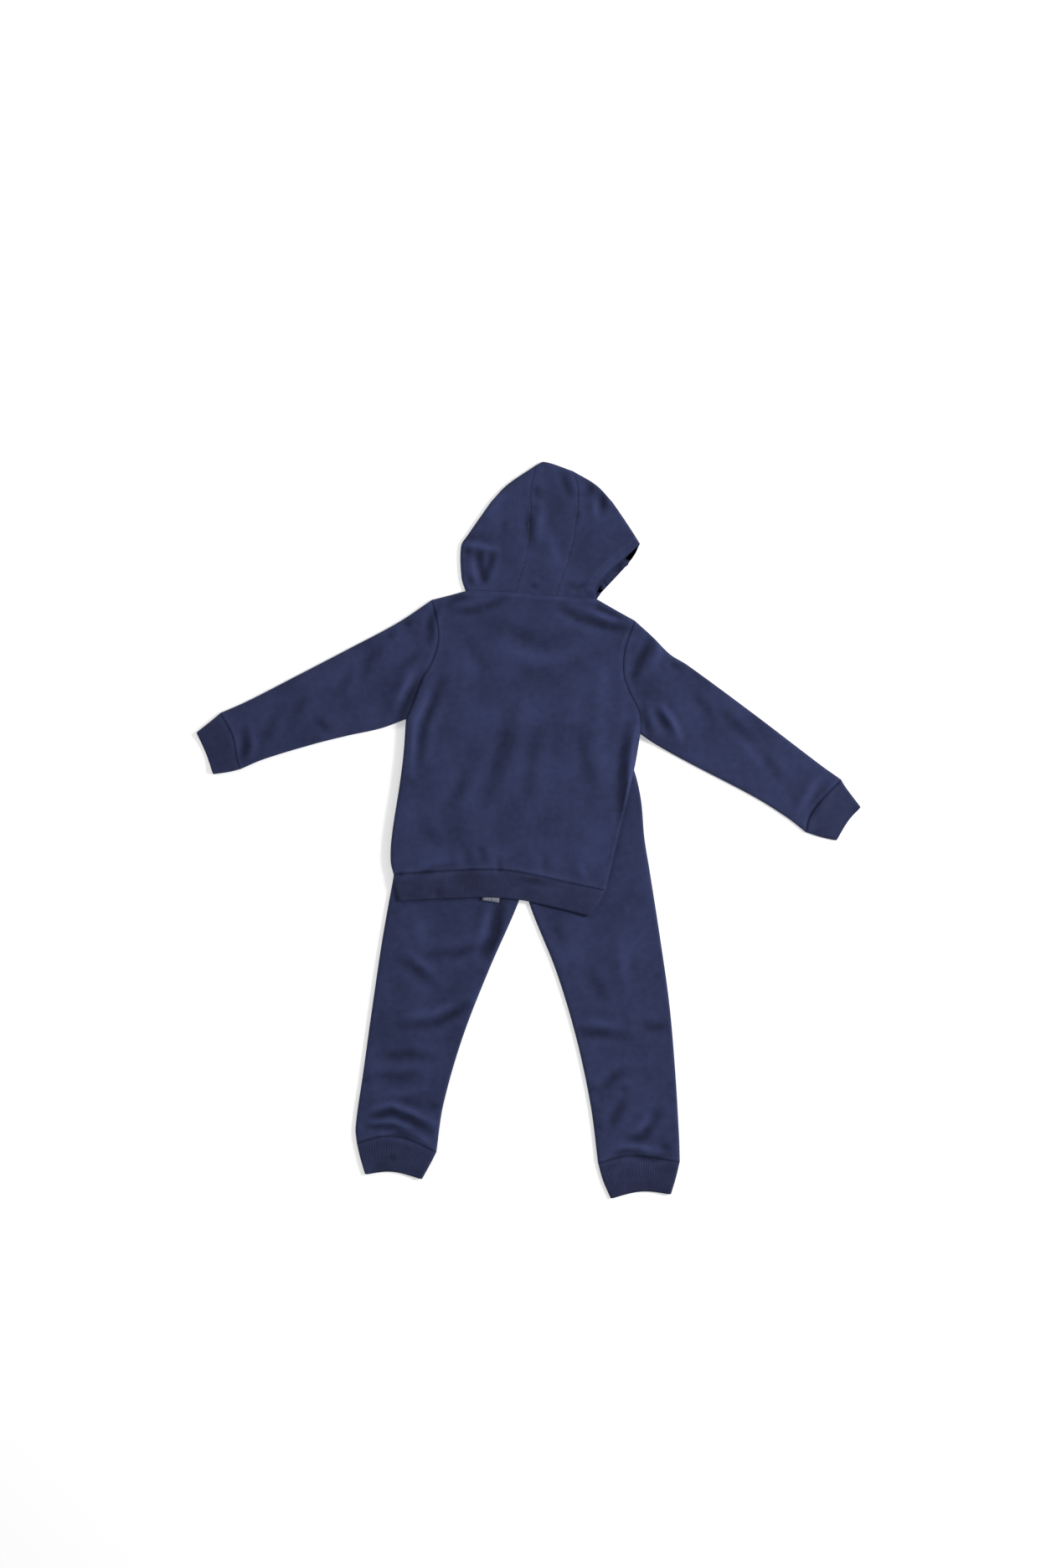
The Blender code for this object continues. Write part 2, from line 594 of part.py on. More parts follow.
def make_sleeves(g):
    """Each sleeve is one folded piece sewn into a tube, with a rib cuff."""
    for word in ("left", "right"):
        seam = g.sample("wrist_seam_" + word)
        edges = g.sample("sleeve_low_" + word), g.sample("sleeve_top_" + word)
        plan = patch(*edges, g.sample("armhole_" + word), seam)
        tube("sleeve_" + word, g, plan, (LOW_SEAM, HIGH_SEAM))
        edges = g.sample("wrist_low_" + word), g.sample("wrist_top_" + word)
        plan = patch(*edges, seam, g.sample("wrist_end_" + word))
        tube("sleeve_cuff_" + word, g, plan, (LOW_SEAM,), RIB_NAVY)


def make_hood(g):
    """Three hood panels that turn under at the outline and end at the face opening."""
    seam_left, seam_right = g.sample("hood_seam_left"), g.sample("hood_seam_right")
    under_left, under_right = g.sample("hood_under_left"), g.sample("hood_under_right")
    side, crown = g.sample("hood_left"), g.sample("crown_left")

    cloth = Cloth("hood_left")
    plan = patch(side, seam_left, g.sample("neck_left"), crown)
    marks = marked(plan, left=True, top=True)
    over = cloth.add(g, plan, 1, marks, (LOW_SEAM, RIGHT_SEAM), gap=0)
    border = chain(side, crown)
    face = g.lines["face_left"].sample(len(border) - 1)
    plan = patch(border, face, g.sample("front_neck_left"), under_left[::-1])
    below = cloth.add(g, plan, -1, marked(plan, left=True), (LOW_SEAM, HIGH_SEAM), gap=0)
    below[:, 0] = np.concatenate([over[:, 0], over[-1, 1:]])
    cloth.face(over)
    cloth.face(below)
    cloth.build(NAVY)

    cloth = Cloth("hood_middle")
    crown = g.sample("crown_middle")
    plan = patch(seam_left, seam_right, g.sample("neck_middle"), crown)
    marks = marked(plan, top=True)
    over = cloth.add(g, plan, 1, marks, (LOW_SEAM, LEFT_SEAM, RIGHT_SEAM), gap=0)
    plan = patch(under_left, under_right, g.sample("face_middle"), crown)
    below = cloth.add(g, plan, -1, marked(plan, top=True), (LEFT_SEAM, RIGHT_SEAM), gap=0)
    below[-1] = over[-1]
    cloth.face(over)
    cloth.face(below)
    cloth.build(NAVY)

    cloth = Cloth("hood_right")
    mouth, side, crown = g.sample("hood_mouth"), g.sample("hood_right"), g.sample("crown_right")
    plan = patch(seam_right, chain(mouth, side), g.sample("neck_right"), crown)
    folded = slice(len(mouth) - 1, None)
    marks = marked(plan, right=folded, top=True)
    marks[0, -1] = True
    gap = np.zeros(marks.shape)
    gap[0, -1] = GAP / 2
    over = cloth.add(g, plan, 1, marks, (LOW_SEAM, LEFT_SEAM), gap)
    border = chain(mouth, side, crown[::-1])
    face = g.lines["face_right"].sample(len(border) - 1)
    plan = patch(face, border, g.sample("front_neck_right"), under_right)
    marks = marked(plan, right=folded)
    marks[0, -1] = True
    gap = np.zeros(marks.shape)
    gap[0, -1] = GAP / 2
    below = cloth.add(g, plan, -1, marks, (LOW_SEAM, HIGH_SEAM), gap)
    below[folded, -1] = np.concatenate([over[folded, -1], over[-1, -2::-1]])
    cloth.face(over)
    cloth.face(below)
    cloth.build(NAVY)


def make_all():
    """Build the whole tracksuit."""
    for thing in list(bpy.data.objects):
        bpy.data.objects.remove(thing, do_unlink=True)
    bpy.context.scene.collection.children.link(bpy.data.collections.new(COLLECTION))

    joggers = Garment(
        JOGGERS,
        [
            [("cuff_outer_left", 1), ("outer_left", 1), ("hip_left", 1), ("band_left", 1)],
            [("cuff_inner_left", 1), ("inseam_left", 1), ("inseam_right", -1), ("cuff_inner_right", -1)],
            [("cuff_outer_right", 1), ("outer_right", 1), ("hip_right", 1), ("band_right", 1)],
        ],
        JOGGERS_FOLDS,
    )
    joggers.ring = np.vstack([
        joggers.outline[0], joggers.lines["band_end_left"].points, joggers.lines["band_end_right"].points,
        joggers.outline[2][::-1], joggers.outline[1][::-1],
    ])
    jacket = Garment(
        {**JACKET, **hem_lines()},
        [
            [("rib_left", 1), ("side_left", 1), ("sleeve_low_left", 1), ("wrist_low_left", 1)],
            [("wrist_top_left", -1), ("sleeve_top_left", -1), ("shoulder_left", 1), ("hood_left", 1),
             ("crown_left", 1), ("crown_middle", 1), ("crown_right", 1), ("hood_right", -1)],
            [("shoulder_right", 1), ("sleeve_top_right", 1), ("wrist_top_right", 1)],
            [("rib_right", 1), ("side_right", 1), ("sleeve_low_right", 1), ("wrist_low_right", 1)],
        ],
        JACKET_FOLDS,
        under=joggers,
    )
    make_joggers(joggers)
    make_body(jacket)
    make_sleeves(jacket)
    make_hood(jacket)


def hem_lines():
    """The hem seam and the rib's lower edge, whole for the back and parted at the zip in front."""
    hem_left = [(-209.5, -69), (-133.3, -63.7), (-52.6, -61.5)]
    hem_right = [(-52.6, -61.5), (-7.2, -67), (57.9, -81.3), (118.5, -94)]
    end_left = [(-201, -110.5), (-133.3, -106.6), (-58.5, -105)]
    end_right = [(-58.5, -105), (-12.4, -109), (43.6, -121), (95.6, -134)]
    return {
        "hem": hem_left + hem_right[1:], "hem_left": hem_left, "hem_right": hem_right,
        "rib_end": end_left + end_right[1:], "rib_end_left": end_left, "rib_end_right": end_right,
    }


make_all()
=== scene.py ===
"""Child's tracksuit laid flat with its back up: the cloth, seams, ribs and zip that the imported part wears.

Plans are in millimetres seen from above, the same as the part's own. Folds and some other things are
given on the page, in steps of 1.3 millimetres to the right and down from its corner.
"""

import bmesh
import bpy
import numpy as np
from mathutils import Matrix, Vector


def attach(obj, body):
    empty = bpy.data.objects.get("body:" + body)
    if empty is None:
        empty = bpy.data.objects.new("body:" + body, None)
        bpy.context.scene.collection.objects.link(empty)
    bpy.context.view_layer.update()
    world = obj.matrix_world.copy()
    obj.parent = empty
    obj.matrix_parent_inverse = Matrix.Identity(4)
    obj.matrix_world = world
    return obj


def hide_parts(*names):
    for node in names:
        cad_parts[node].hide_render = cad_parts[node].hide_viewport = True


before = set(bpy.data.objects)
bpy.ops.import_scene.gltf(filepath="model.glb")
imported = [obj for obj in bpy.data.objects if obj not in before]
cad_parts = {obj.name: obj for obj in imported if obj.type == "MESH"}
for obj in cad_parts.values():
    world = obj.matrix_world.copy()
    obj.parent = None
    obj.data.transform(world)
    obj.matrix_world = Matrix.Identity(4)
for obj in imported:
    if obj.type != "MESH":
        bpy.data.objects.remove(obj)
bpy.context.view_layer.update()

MM = 0.001
PAGE_STEP = 1.3
PAGE_MIDDLE = (631.5, 991.0)
CENTRE = np.array([-0.6, -0.7])
TINY = 1e-9
FAR = 1e9

# Height of the cloth, in millimetres
CLOTH = 1.5
SEAM_GAP = 0.08
EDGE_HEIGHT = 4.2
EDGE_WIDTH = 4.6
FLAT_HEIGHT = 6.8
SETTLED = 30.0
DRAPE_START = 12.0
DRAPE_WIDTH = 60.0
CLEARANCE = 0.4
SAG = 2.4
SAG_WIDTH = 16.0
SEAM_REACH = 20.0
EDGE_REACH = 40.0

# Folds and the unevenness of smoothed cloth, in millimetres and in shares of a fold's height
FOLD_ENDS = 0.35
FOLD_FULLNESS = 0.8
FOLD_FADE = 10.0
DEEPEST_FOLD = -3.1
FLANK = 0.3
LIFT = 0.4
MOST_LIFT = 1.3
WAVES = 16
WAVE_LENGTHS = (28.0, 120.0)
WAVE_SLOPE = 0.0016

# Sewing, in millimetres
GROOVE_WIDTH = 1.0
PUFF = 0.7
PUFF_PLACE = 5.0
PUFF_WIDTH = 3.6
DIP = 0.45
DIP_WIDTH = 0.8
BAND_HEIGHT = 0.9
BAND_FLAT = 0.85
CREASE_FADE = 8
STITCH_PITCH = 3.2
STITCH_SIZE = (2.5, 0.55, 0.55)
STITCH_LIFT = 0.1
RIB_PITCH = 2.9
RIB_DEPTH = 0.42
RIB_SEWN = 0.35

# Zip, in millimetres: the gap between the fronts, the tapes across from the middle, and the teeth
ZIP_HALF_WIDTH = 4.5
TAPE_EDGES = np.array([0.3, 2.4, 3.4, 8.0, 13.0])
TAPE_BEAD = np.array([0.3, 0.3, 0.0, 0.0, 0.0])
TAPE_LIFT = 0.5
TAPE_END = 6.0
TAPE_THICKNESS = 0.7
TOOTH_PLACE = 0.9
TOOTH_DROP = 0.45
TOOTH_PITCH = 2.2
TOOTH_SIZE = (1.3, 2.6, 1.1)

# Grids: distances of the close rows from a seam or an edge, then the spans between those rows
EDGE_ROWS = (0.6, 1.3, 2.2, 3.2, 4.3, 5.6, 7.2, 9.4, 12.5)
CHORD = 8.0
LONG_LINE = 24
BODY_ROWS = 104
BODY_COLUMNS = 84
FRONT_COLUMNS = 36
SLEEVE_ROWS = 78
SLEEVE_COLUMNS = 30
LEG_ROWS = 140
LEG_COLUMNS = 30
BAND_ROWS = 6
CUFF_ROWS = 14
RIB_STEPS = 6
HOOD_ROWS = 46
HOOD_COLUMNS = 18
MIDDLE_COLUMNS = 14
UNDER_ROWS = 20
ZIP_ROWS = 90
DRAW_FADE = 8

# Finishes: a dark and a light colour of each in steps of 255, and the knit in millimetres
FLEECE_COLOURS = ((22, 27, 52), (56, 64, 104))
RIB_COLOURS = ((22, 26, 50), (54, 61, 98))
THREAD_COLOURS = ((44, 50, 84), (66, 73, 110))
TAPE_COLOURS = ((96, 100, 114), (150, 153, 166))
METAL_COLOURS = ((168, 171, 180), (206, 208, 213))
FLEECE_SHEEN = 0.14
RIB_SHEEN = 0.1
SHEEN_TINT = (120, 130, 175)
CLOTH_ROUGHNESS = 0.84
CLOUDS = 0.45
CLOUD_SCALE = 14.0
NAP = 0.5
NAP_SCALE = 90.0
FIBRES = 0.2
FIBRE_SCALE = 1400.0
# Painted shade and light on the knits: colour darker in fold troughs and seam grooves and lighter on ridges,
# by the relief's height
FOLD_SHADE = 0.9
FOLD_SHADE_RANGE = 7.0
SHADE_SHIFT = 0.65
WALE_PITCH = 1.3
COURSE_PITCH = 1.1
TWILL_PITCH = 0.9
BUMP_STRENGTH = 0.6
BUMP_HEIGHT = 0.25

# Studio, in metres and watts
FLOOR_DROP = -0.0006
FLOOR_HALF = 6.0
FLOOR_SHADE = 0.9
FLOOR_ROUGHNESS = 0.9
FLOOR_GLOW = 0.35
SENSOR = 36.0
FRAME_LENGTH = 2.4349
CAMERA_HEIGHT = 4.0
CAMERA_PLACE = (-0.0086, 0.0715)
CAMERA_REACH = 20.0
SURROUND = 0.42
LAMPS = [("key", (2.1, 0.3, 1.9), 60.0, 0.9), ("fill", (-1.8, 1.6, 2.2), 16.0, 0.9)]

# The jacket's plan: each line runs from the hem to the hood, from the left to the right of the
# page, or along a sleeve from the body outwards and across it from the underarm to the top
JACKET = {
    "rib_left": [(-201, -110.5), (-208.5, -78), (-209.5, -69)],
    "rib_right": [(95.6, -134), (109, -113), (118.5, -94)],
    "side_left": [(-209.5, -69), (-214, -50), (-212.6, -12), (-199.6, 74), (-194, 120), (-190.5, 171)],
    "side_right": [(118.5, -94), (137, -17), (163.2, 95), (172.5, 148)],
    "armhole_left": [
        (-190.5, 171), (-182.7, 190), (-165.8, 235), (-150.2, 261), (-140.4, 300), (-150.5, 356.4),
    ],
    "armhole_right": [(172.5, 148), (172.3, 179), (154.1, 217), (146.3, 243), (148.9, 281), (164, 324.5)],
    "shoulder_left": [(-150.5, 356.4), (-125.5, 362.7), (-98.5, 370)],
    "shoulder_right": [(104.5, 358), (137.2, 339.3), (164, 324.5)],
    "neck_left": [(-98.5, 370), (-60, 370), (-22, 368)],
    "neck_middle": [(-22, 368), (7.2, 365.3), (40, 362.5)],
    "neck_right": [(40, 362.5), (72, 360), (104.5, 358)],
    "front_neck_left": [(-98.5, 370), (-75, 335), (-40, 317), (-5, 312)],
    "front_neck_right": [(5, 311), (45, 314), (85, 328), (104.5, 358)],
    "zip": [(-52.6, -61.5), (-1, 312)],
    "rib_zip": [(-58.5, -105), (-52.6, -61.5)],
    "sleeve_top_left": [
        (-150.5, 356.4), (-203.5, 321), (-281.5, 279.5), (-359.5, 239), (-437.5, 199), (-478.5, 181),
    ],
    "sleeve_low_left": [
        (-190.5, 171), (-229.5, 157), (-281.5, 145.6), (-333.5, 132.6), (-411.5, 109), (-448, 93.5),
    ],
    "sleeve_top_right": [
        (164, 324.5), (193, 298), (219, 272), (245, 256), (349, 179.4), (453, 100), (484, 78),
    ],
    "sleeve_low_right": [(172.5, 148), (193, 134), (245, 105), (349, 50.7), (401, 18), (429, -4)],
    "wrist_seam_left": [(-448, 93.5), (-453, 110), (-459.6, 145), (-478.5, 181)],
    "wrist_seam_right": [(429, -4), (433.6, 17.6), (450.5, 43), (484, 78)],
    "wrist_top_left": [(-478.5, 181), (-489.5, 171.6), (-515.5, 150.8)],
    "wrist_low_left": [(-448, 93.5), (-463.5, 89.7), (-489.5, 85.8)],
    "wrist_top_right": [(484, 78), (491, 66.3), (514.5, 35)],
    "wrist_low_right": [(429, -4), (453, -11.7), (476.5, -17)],
    "wrist_end_left": [(-489.5, 85.8), (-501, 118.3), (-515.5, 150.8)],
    "wrist_end_right": [(476.5, -17), (496, 14.3), (514.5, 35)],
    "hood_left": [(-98.5, 370), (-104.7, 391), (-105.3, 440), (-95.6, 456), (-59.2, 508.3)],
    "hood_mouth": [(104.5, 358), (110, 378), (132, 404), (172.3, 443.3)],
    "hood_opening": [(104.5, 358), (105, 378), (128, 405), (172.3, 443.3)],
    "hood_right": [(172.3, 443.3), (164.5, 456), (147.6, 482), (129.4, 508.3)],
    "crown_left": [(-59.2, 508.3), (-34.5, 534.3), (11, 565.5)],
    "crown_middle": [(11, 565.5), (24, 570.7), (68, 556.4)],
    "crown_right": [(68, 556.4), (104.7, 534.3), (129.4, 508.3)],
    "hood_seam_left": [(-22, 368), (-4, 430), (0.6, 482), (3, 528), (11, 565.5)],
    "hood_seam_right": [(40, 362.5), (63, 430), (73.5, 489), (76, 528), (68, 556.4)],
    "face_left": [(-5, 312), (-42, 372), (-50, 430), (-32, 482), (0, 512)],
    "face_middle": [(0, 512), (38, 519), (74, 508)],
    "face_right": [(5, 311), (82, 372), (114, 430), (108, 480), (74, 508)],
    "hood_under_left": [(0, 512), (3, 528), (11, 565.5)],
    "hood_under_right": [(74, 508), (76, 528), (68, 556.4)],
}

# The joggers' plan, from the ankles to the waist and from the left to the right of the page
JOGGERS = {
    "outer_left": [(-267, -486), (-269, -462), (-257, -376), (-242.5, -272), (-227, -168), (-208, -62)],
    "outer_right": [(234, -515), (233, -478), (227, -376), (218, -272), (203.5, -168), (187, -62)],
    "hip_left": [(-208, -62), (-203.5, -20), (-199, 30), (-193, 75), (-181, 108)],
    "hip_right": [(187, -62), (179, -12), (174, 45), (163.2, 92), (152, 110)],
    "inseam_left": [(-143.5, -500), (-133, -428), (-103.4, -324), (-63, -220), (-17.6, -116), (-6, -77)],
    "inseam_right": [(107, -517), (95.6, -428), (73.5, -324), (42.3, -220), (1, -116), (-6, -77)],
    "centre": [(-6, -77), (-9, 0), (-14, 109)],
    "waist_left": [(-181, 108), (-100, 110), (-14, 109)],
    "waist_right": [(-14, 109), (70, 110), (152, 110)],
    "band_left": [(-181, 108), (-176, 143)],
    "band_right": [(152, 110), (147, 145)],
    "band_end_left": [(-176, 143), (-100, 145), (-14, 144)],
    "band_end_right": [(-14, 144), (70, 145), (147, 145)],
    "cuff_seam_left": [(-267, -486), (-229.5, -476), (-197, -477), (-164.5, -490), (-143.5, -500)],
    "cuff_seam_right": [(107, -517), (150, -506), (190, -509), (234, -515)],
    "cuff_outer_left": [(-254.2, -534.3), (-262, -508), (-267, -486)],
    "cuff_outer_right": [(220.4, -565.5), (228, -540), (234, -515)],
    "cuff_inner_left": [(-165.8, -542), (-152, -517), (-143.5, -500)],
    "cuff_inner_right": [(126.8, -572), (115, -545), (107, -517)],
    "cuff_end_left": [(-254.2, -534.3), (-212, -531), (-165.8, -542)],
    "cuff_end_right": [(126.8, -572), (174, -561.6), (220.4, -565.5)],
}

HEM_LEFT = [(-209.5, -69), (-133.3, -63.7), (-52.6, -61.5)]
HEM_RIGHT = [(-52.6, -61.5), (-7.2, -67), (57.9, -81.3), (118.5, -94)]
END_LEFT = [(-201, -110.5), (-133.3, -106.6), (-58.5, -105)]
END_RIGHT = [(-58.5, -105), (-12.4, -109), (43.6, -121), (95.6, -134)]
JACKET.update({
    "hem": HEM_LEFT + HEM_RIGHT[1:], "hem_left": HEM_LEFT, "hem_right": HEM_RIGHT,
    "rib_end": END_LEFT + END_RIGHT[1:], "rib_end_left": END_LEFT, "rib_end_right": END_RIGHT,
})

# Folds on the page: the half width and height of each in millimetres, troughs negative, then its run
JACKET_FOLDS = [
    # hood
    (5.5, -3.8, (571, 660), (574, 678), (578, 693)),
    (5.5, -3.5, (588, 662), (583, 678), (578, 693)),
    (6, 3.8, (551, 651), (570, 652), (592, 657)),
    (6, 2.3, (563, 672), (566, 690)),
    (4.5, -2.6, (556, 655), (561, 661)),
    (4.5, -2.6, (559, 690), (563, 697)),
    (7, -3.5, (632, 608), (631, 632), (633, 655)),
    (7, 2, (645, 600), (646, 640)),
    (5.5, -2, (637, 582), (643, 590)),
    (5.5, -1.7, (640, 604), (642, 614)),
    (5.5, -1.7, (600, 620), (602, 634)),
    (6, -2.3, (670, 564), (675, 578), (680, 592)),
    (6, -2, (703, 578), (704, 590)),
    (6, -3.2, (719, 594), (720, 610)),
    (6, 2, (708, 598), (711, 618)),
    (5.5, -1.7, (688, 608), (688, 624)),
    (4.5, -2.3, (634, 698), (641, 702)),
    (4.5, -1.7, (675, 698), (690, 701), (700, 698)),
    (4.5, -2.3, (699, 708), (706, 713)),
    (8, 2.3, (600, 585), (585, 612)),
    (9.5, 1.9, (655, 640), (665, 672)),
    # shoulders and back
    (5.5, -2.5, (530, 724), (545, 716), (560, 712)),
    (6, -2.2, (537, 728), (560, 731), (590, 722), (600, 716)),
    (7, -3.5, (668, 725), (690, 738), (720, 747), (755, 753)),
    (5.5, 2.9, (700, 727), (715, 735), (732, 742)),
    (4.5, -2.3, (705, 724), (725, 732), (745, 740)),
    (7, 3.2, (511, 832), (495, 860), (492, 925)),
    (7, -2.9, (527, 812), (506, 868), (497, 915)),
    (9.5, -2, (556, 925), (548, 945), (535, 967)),
    (11, -2, (612, 848), (598, 905), (590, 930), (574, 967)),
    (10, -1.6, (640, 870), (636, 900), (628, 960)),
    (8, -3.2, (749, 868), (743, 905), (741, 978)),
    (5.5, 2.9, (757, 872), (752, 920), (750, 970)),
    (11, 1.7, (720, 800), (716, 880), (722, 960)),
    (9.5, -1.7, (690, 870), (700, 930)),
    (9.5, -1.4, (560, 770), (580, 800)),
    (11, 1.6, (600, 770), (640, 790), (690, 780)),
    (12.5, -1.4, (600, 750), (640, 765), (690, 755)),
    (8.5, -1.7, (500, 980), (520, 1006)),
    (5.5, -2.6, (500, 1044), (518, 1038), (541, 1034)),
    (6, -2, (574, 1008), (577, 1026)),
    (4.5, -2.3, (596, 1029), (597, 1040)),
    (5.5, -2.2, (474, 1045), (480, 1040)),
    (5.5, -2.2, (622, 1050), (640, 1052), (665, 1055)),
    (7, -1.7, (650, 1020), (652, 1040)),
    (7, 1.7, (690, 1030), (700, 1052)),
    (7, 1.7, (545, 1015), (550, 1035)),
    (8, -1.6, (520, 1060), (530, 1072)),
    # left sleeve
    (6, -3.5, (522, 725), (514, 742), (512, 766)),
    (8, -4.1, (505, 806), (492, 830), (478, 860)),
    (7, 2.6, (490, 808), (474, 838)),
    (5.5, -2.3, (490, 741), (485, 749)),
    (5.5, -2, (468, 756), (463, 764)),
    (6, -1.9, (378, 860), (392, 873)),
    (8, -2, (473, 802), (500, 780)),
    (7, -1.7, (455, 770), (440, 790), (432, 812)),
    (7, -1.6, (420, 800), (402, 830)),
    (6, -2.6, (291, 872), (293, 890), (289, 906)),
    (6, 2, (302, 872), (304, 892), (300, 908)),
    (7, -1.6, (330, 850), (318, 880)),
    (8, -1.4, (365, 830), (352, 856)),
    # right sleeve
    (7, -3.5, (777, 764), (765, 786), (755, 812)),
    (6, 2.2, (790, 770), (780, 796)),
    (5.5, -2.5, (800, 792), (811, 799)),
    (6, -3.2, (765, 845), (770, 862), (776, 882)),
    (6, 3.5, (789, 843), (800, 860), (812, 882)),
    (6, -2.9, (784, 850), (792, 862), (801, 872)),
    (7, -1.9, (830, 830), (850, 856)),
    (7, -1.7, (860, 850), (890, 880)),
    (8, 1.7, (880, 880), (900, 905)),
    (7, -1.7, (910, 900), (930, 930)),
    (7, -2.3, (984, 938), (976, 956), (964, 978)),
    (6, 2, (973, 930), (963, 950), (952, 966)),
]
JOGGERS_FOLDS = [
    # left leg
    (8, -4.1, (596, 1080), (591, 1115), (580, 1142)),
    (7, 2.3, (583, 1085), (576, 1112), (566, 1135)),
    (8.5, -2.5, (512, 1141), (540, 1139), (560, 1135), (581, 1130)),
    (8, -2.3, (475, 1145), (500, 1160), (520, 1181)),
    (7, 1.9, (490, 1141), (515, 1160)),
    (8, -2.5, (480, 1226), (520, 1222), (545, 1209), (557, 1199)),
    (7, 1.9, (485, 1213), (515, 1211), (540, 1200)),
    (8, -2.2, (455, 1262), (490, 1260), (521, 1265)),
    (8, -2.2, (440, 1286), (470, 1287), (500, 1284)),
    (5.5, -2.3, (434, 1288), (440, 1293)),
    (6, -2, (512, 1318), (521, 1322)),
    (7, 2, (450, 1310), (480, 1306), (510, 1300)),
    (5.5, -4.1, (446, 1334), (465, 1328), (487, 1336), (514, 1351)),
    (5.5, 3.5, (442, 1323), (468, 1318), (492, 1327), (518, 1340)),
    (4.5, -3.2, (437, 1346), (455, 1345), (476, 1347)),
    (4.5, 2.9, (445, 1340), (468, 1338), (490, 1346)),
    (4.5, -2.9, (463, 1353), (480, 1355), (497, 1361)),
    (4.5, 2.6, (500, 1356), (513, 1364)),
    (4.5, -1.7, (464, 1381), (472, 1384)),
    # right leg
    (8, -2.3, (688, 1233), (710, 1234), (746, 1237)),
    (7, 1.9, (695, 1222), (720, 1223), (740, 1226)),
    (7, -2, (764, 1225), (796, 1228)),
    (8, -2.3, (719, 1302), (735, 1285), (747, 1279)),
    (6, -2.3, (741, 1298), (748, 1303)),
    (8, -2.3, (729, 1347), (736, 1330), (746, 1314)),
    (7, -2.5, (750, 1363), (767, 1358), (786, 1329)),
    (7, 2, (758, 1350), (775, 1338)),
    (5.5, -2.9, (728, 1383), (745, 1376), (762, 1378)),
    (5.5, 2.6, (735, 1368), (760, 1368), (785, 1374)),
    (5.5, -3.2, (760, 1381), (778, 1384), (797, 1380)),
    (5.5, -2.3, (788, 1370), (800, 1372)),
    (4.5, -1.7, (722, 1396), (736, 1390)),
    (6, -2.3, (704, 1298), (709, 1303)),
    (6, -2.3, (711, 1343), (716, 1348)),
    (8, -1.7, (660, 1100), (672, 1130)),
    (8.5, 1.6, (740, 1130), (748, 1180)),
    (8.5, -1.6, (700, 1160), (720, 1190)),
    (9.5, 1.6, (500, 1100), (505, 1130)),
]

# Sewn seams: the runs that make each line, the depth of its groove, its stitch rows beside it and how
# far a raised band reaches on one side
JACKET_SEAMS = [
    (("armhole_left",), 1.1, (5.5,), 0.0),
    (("armhole_right",), 1.1, (-5.5,), 0.0),
    (("neck_left", "neck_middle", "neck_right"), 0.3, (8.5,), 8.5),
    (("hem",), 1.1, (-5.0,), 0.0),
    (("wrist_seam_left",), 1.1, (5.0,), 0.0),
    (("wrist_seam_right",), 1.1, (-5.0,), 0.0),
    (("hood_seam_left",), 0.5, (), 0.0),
    (("hood_seam_right",), 0.5, (), 0.0),
    (("hood_opening",), 0.0, (-17.0,), -17.0),
]
JOGGERS_SEAMS = [
    (("cuff_seam_left",), 1.1, (-5.0,), 0.0),
    (("cuff_seam_right",), 1.1, (-5.0,), 0.0),
]

# Creases pressed in beside an edge: its line, the steps that divide it and those followed, then the
# offset, height and width
JACKET_CREASES = [
    ("side_right", 24, slice(None), -7.0, -0.5, 1.2),
    ("sleeve_low_right", 24, slice(14), -6.0, -0.4, 1.2),
]
JOGGERS_CREASES = [("outer_right", 30, slice(18, None), -17.0, -0.7, 1.3)]


class Line:
    """A smooth line through a few plan points, read by the distance along it."""

    def __init__(self, points, per_span=24):
        p = np.array(points, float)
        chord = np.linalg.norm(np.diff(p, axis=0), axis=1)
        slope = np.empty_like(p)
        slope[0] = (p[1] - p[0]) / chord[0]
        slope[-1] = (p[-1] - p[-2]) / chord[-1]
        slope[1:-1] = (p[2:] - p[:-2]) / (chord[1:] + chord[:-1])[:, None]
        t = (np.arange(per_span) / per_span)[:, None]
        spans = [
            (1 + 2 * t) * (1 - t) ** 2 * p[i] + t * (1 - t) ** 2 * c * slope[i]
            + t * t * (3 - 2 * t) * p[i + 1] - t * t * (1 - t) * c * slope[i + 1]
            for i, c in enumerate(chord)
        ]
        self.points = np.vstack(spans + [p[-1:]])
        steps = np.linalg.norm(np.diff(self.points, axis=0), axis=1)
        self.along = np.concatenate([[0], np.cumsum(steps)])

    def at(self, places):
        """Points at distances along the line."""
        x = np.interp(places, self.along, self.points[:, 0])
        y = np.interp(places, self.along, self.points[:, 1])
        return np.stack([x, y], axis=1)

    def sample(self, spans, close_start=True, close_end=True):
        """Points that divide the line, closer together near the chosen ends."""
        rows = np.array((0,) + EDGE_ROWS)
        length = self.along[-1]
        first = rows[-1] if close_start else 0
        last = length - rows[-1] if close_end else length
        places = np.linspace(first, last, spans + 1)
        if close_start:
            places = np.concatenate([rows[:-1], places])
        if close_end:
            places = np.concatenate([places, length - rows[-2::-1]])
        return self.at(places)

    def even(self, spans):
        """Points that divide the line evenly."""
        return self.at(np.linspace(0, self.along[-1], spans + 1))


def page(points):
    """Plan points of places on the page."""
    return (np.array(points, float) - PAGE_MIDDLE) * (PAGE_STEP, -PAGE_STEP)


def chain(*lines):
    """Lines joined end to end, each shared point once."""
    return np.vstack([lines[0]] + [line[1:] for line in lines[1:]])


def unit(steps):
    """Steps brought to a length of one."""
    return steps / np.maximum(np.linalg.norm(steps, axis=-1, keepdims=True), TINY)


def shifted(line, offset):
    """A line moved sideways, to the right of its direction."""
    step = np.gradient(line, axis=0)
    side = np.stack([step[:, 1], -step[:, 0]], axis=1)
    return line + unit(side) * offset


def shares(a, b):
    """Mean share of the length reached at each point of two lines."""
    parts = []
    for line in (a, b):
        along = np.concatenate([[0], np.cumsum(np.linalg.norm(np.diff(line, axis=0), axis=1))])
        parts.append(along / along[-1])
    return (parts[0] + parts[1]) / 2


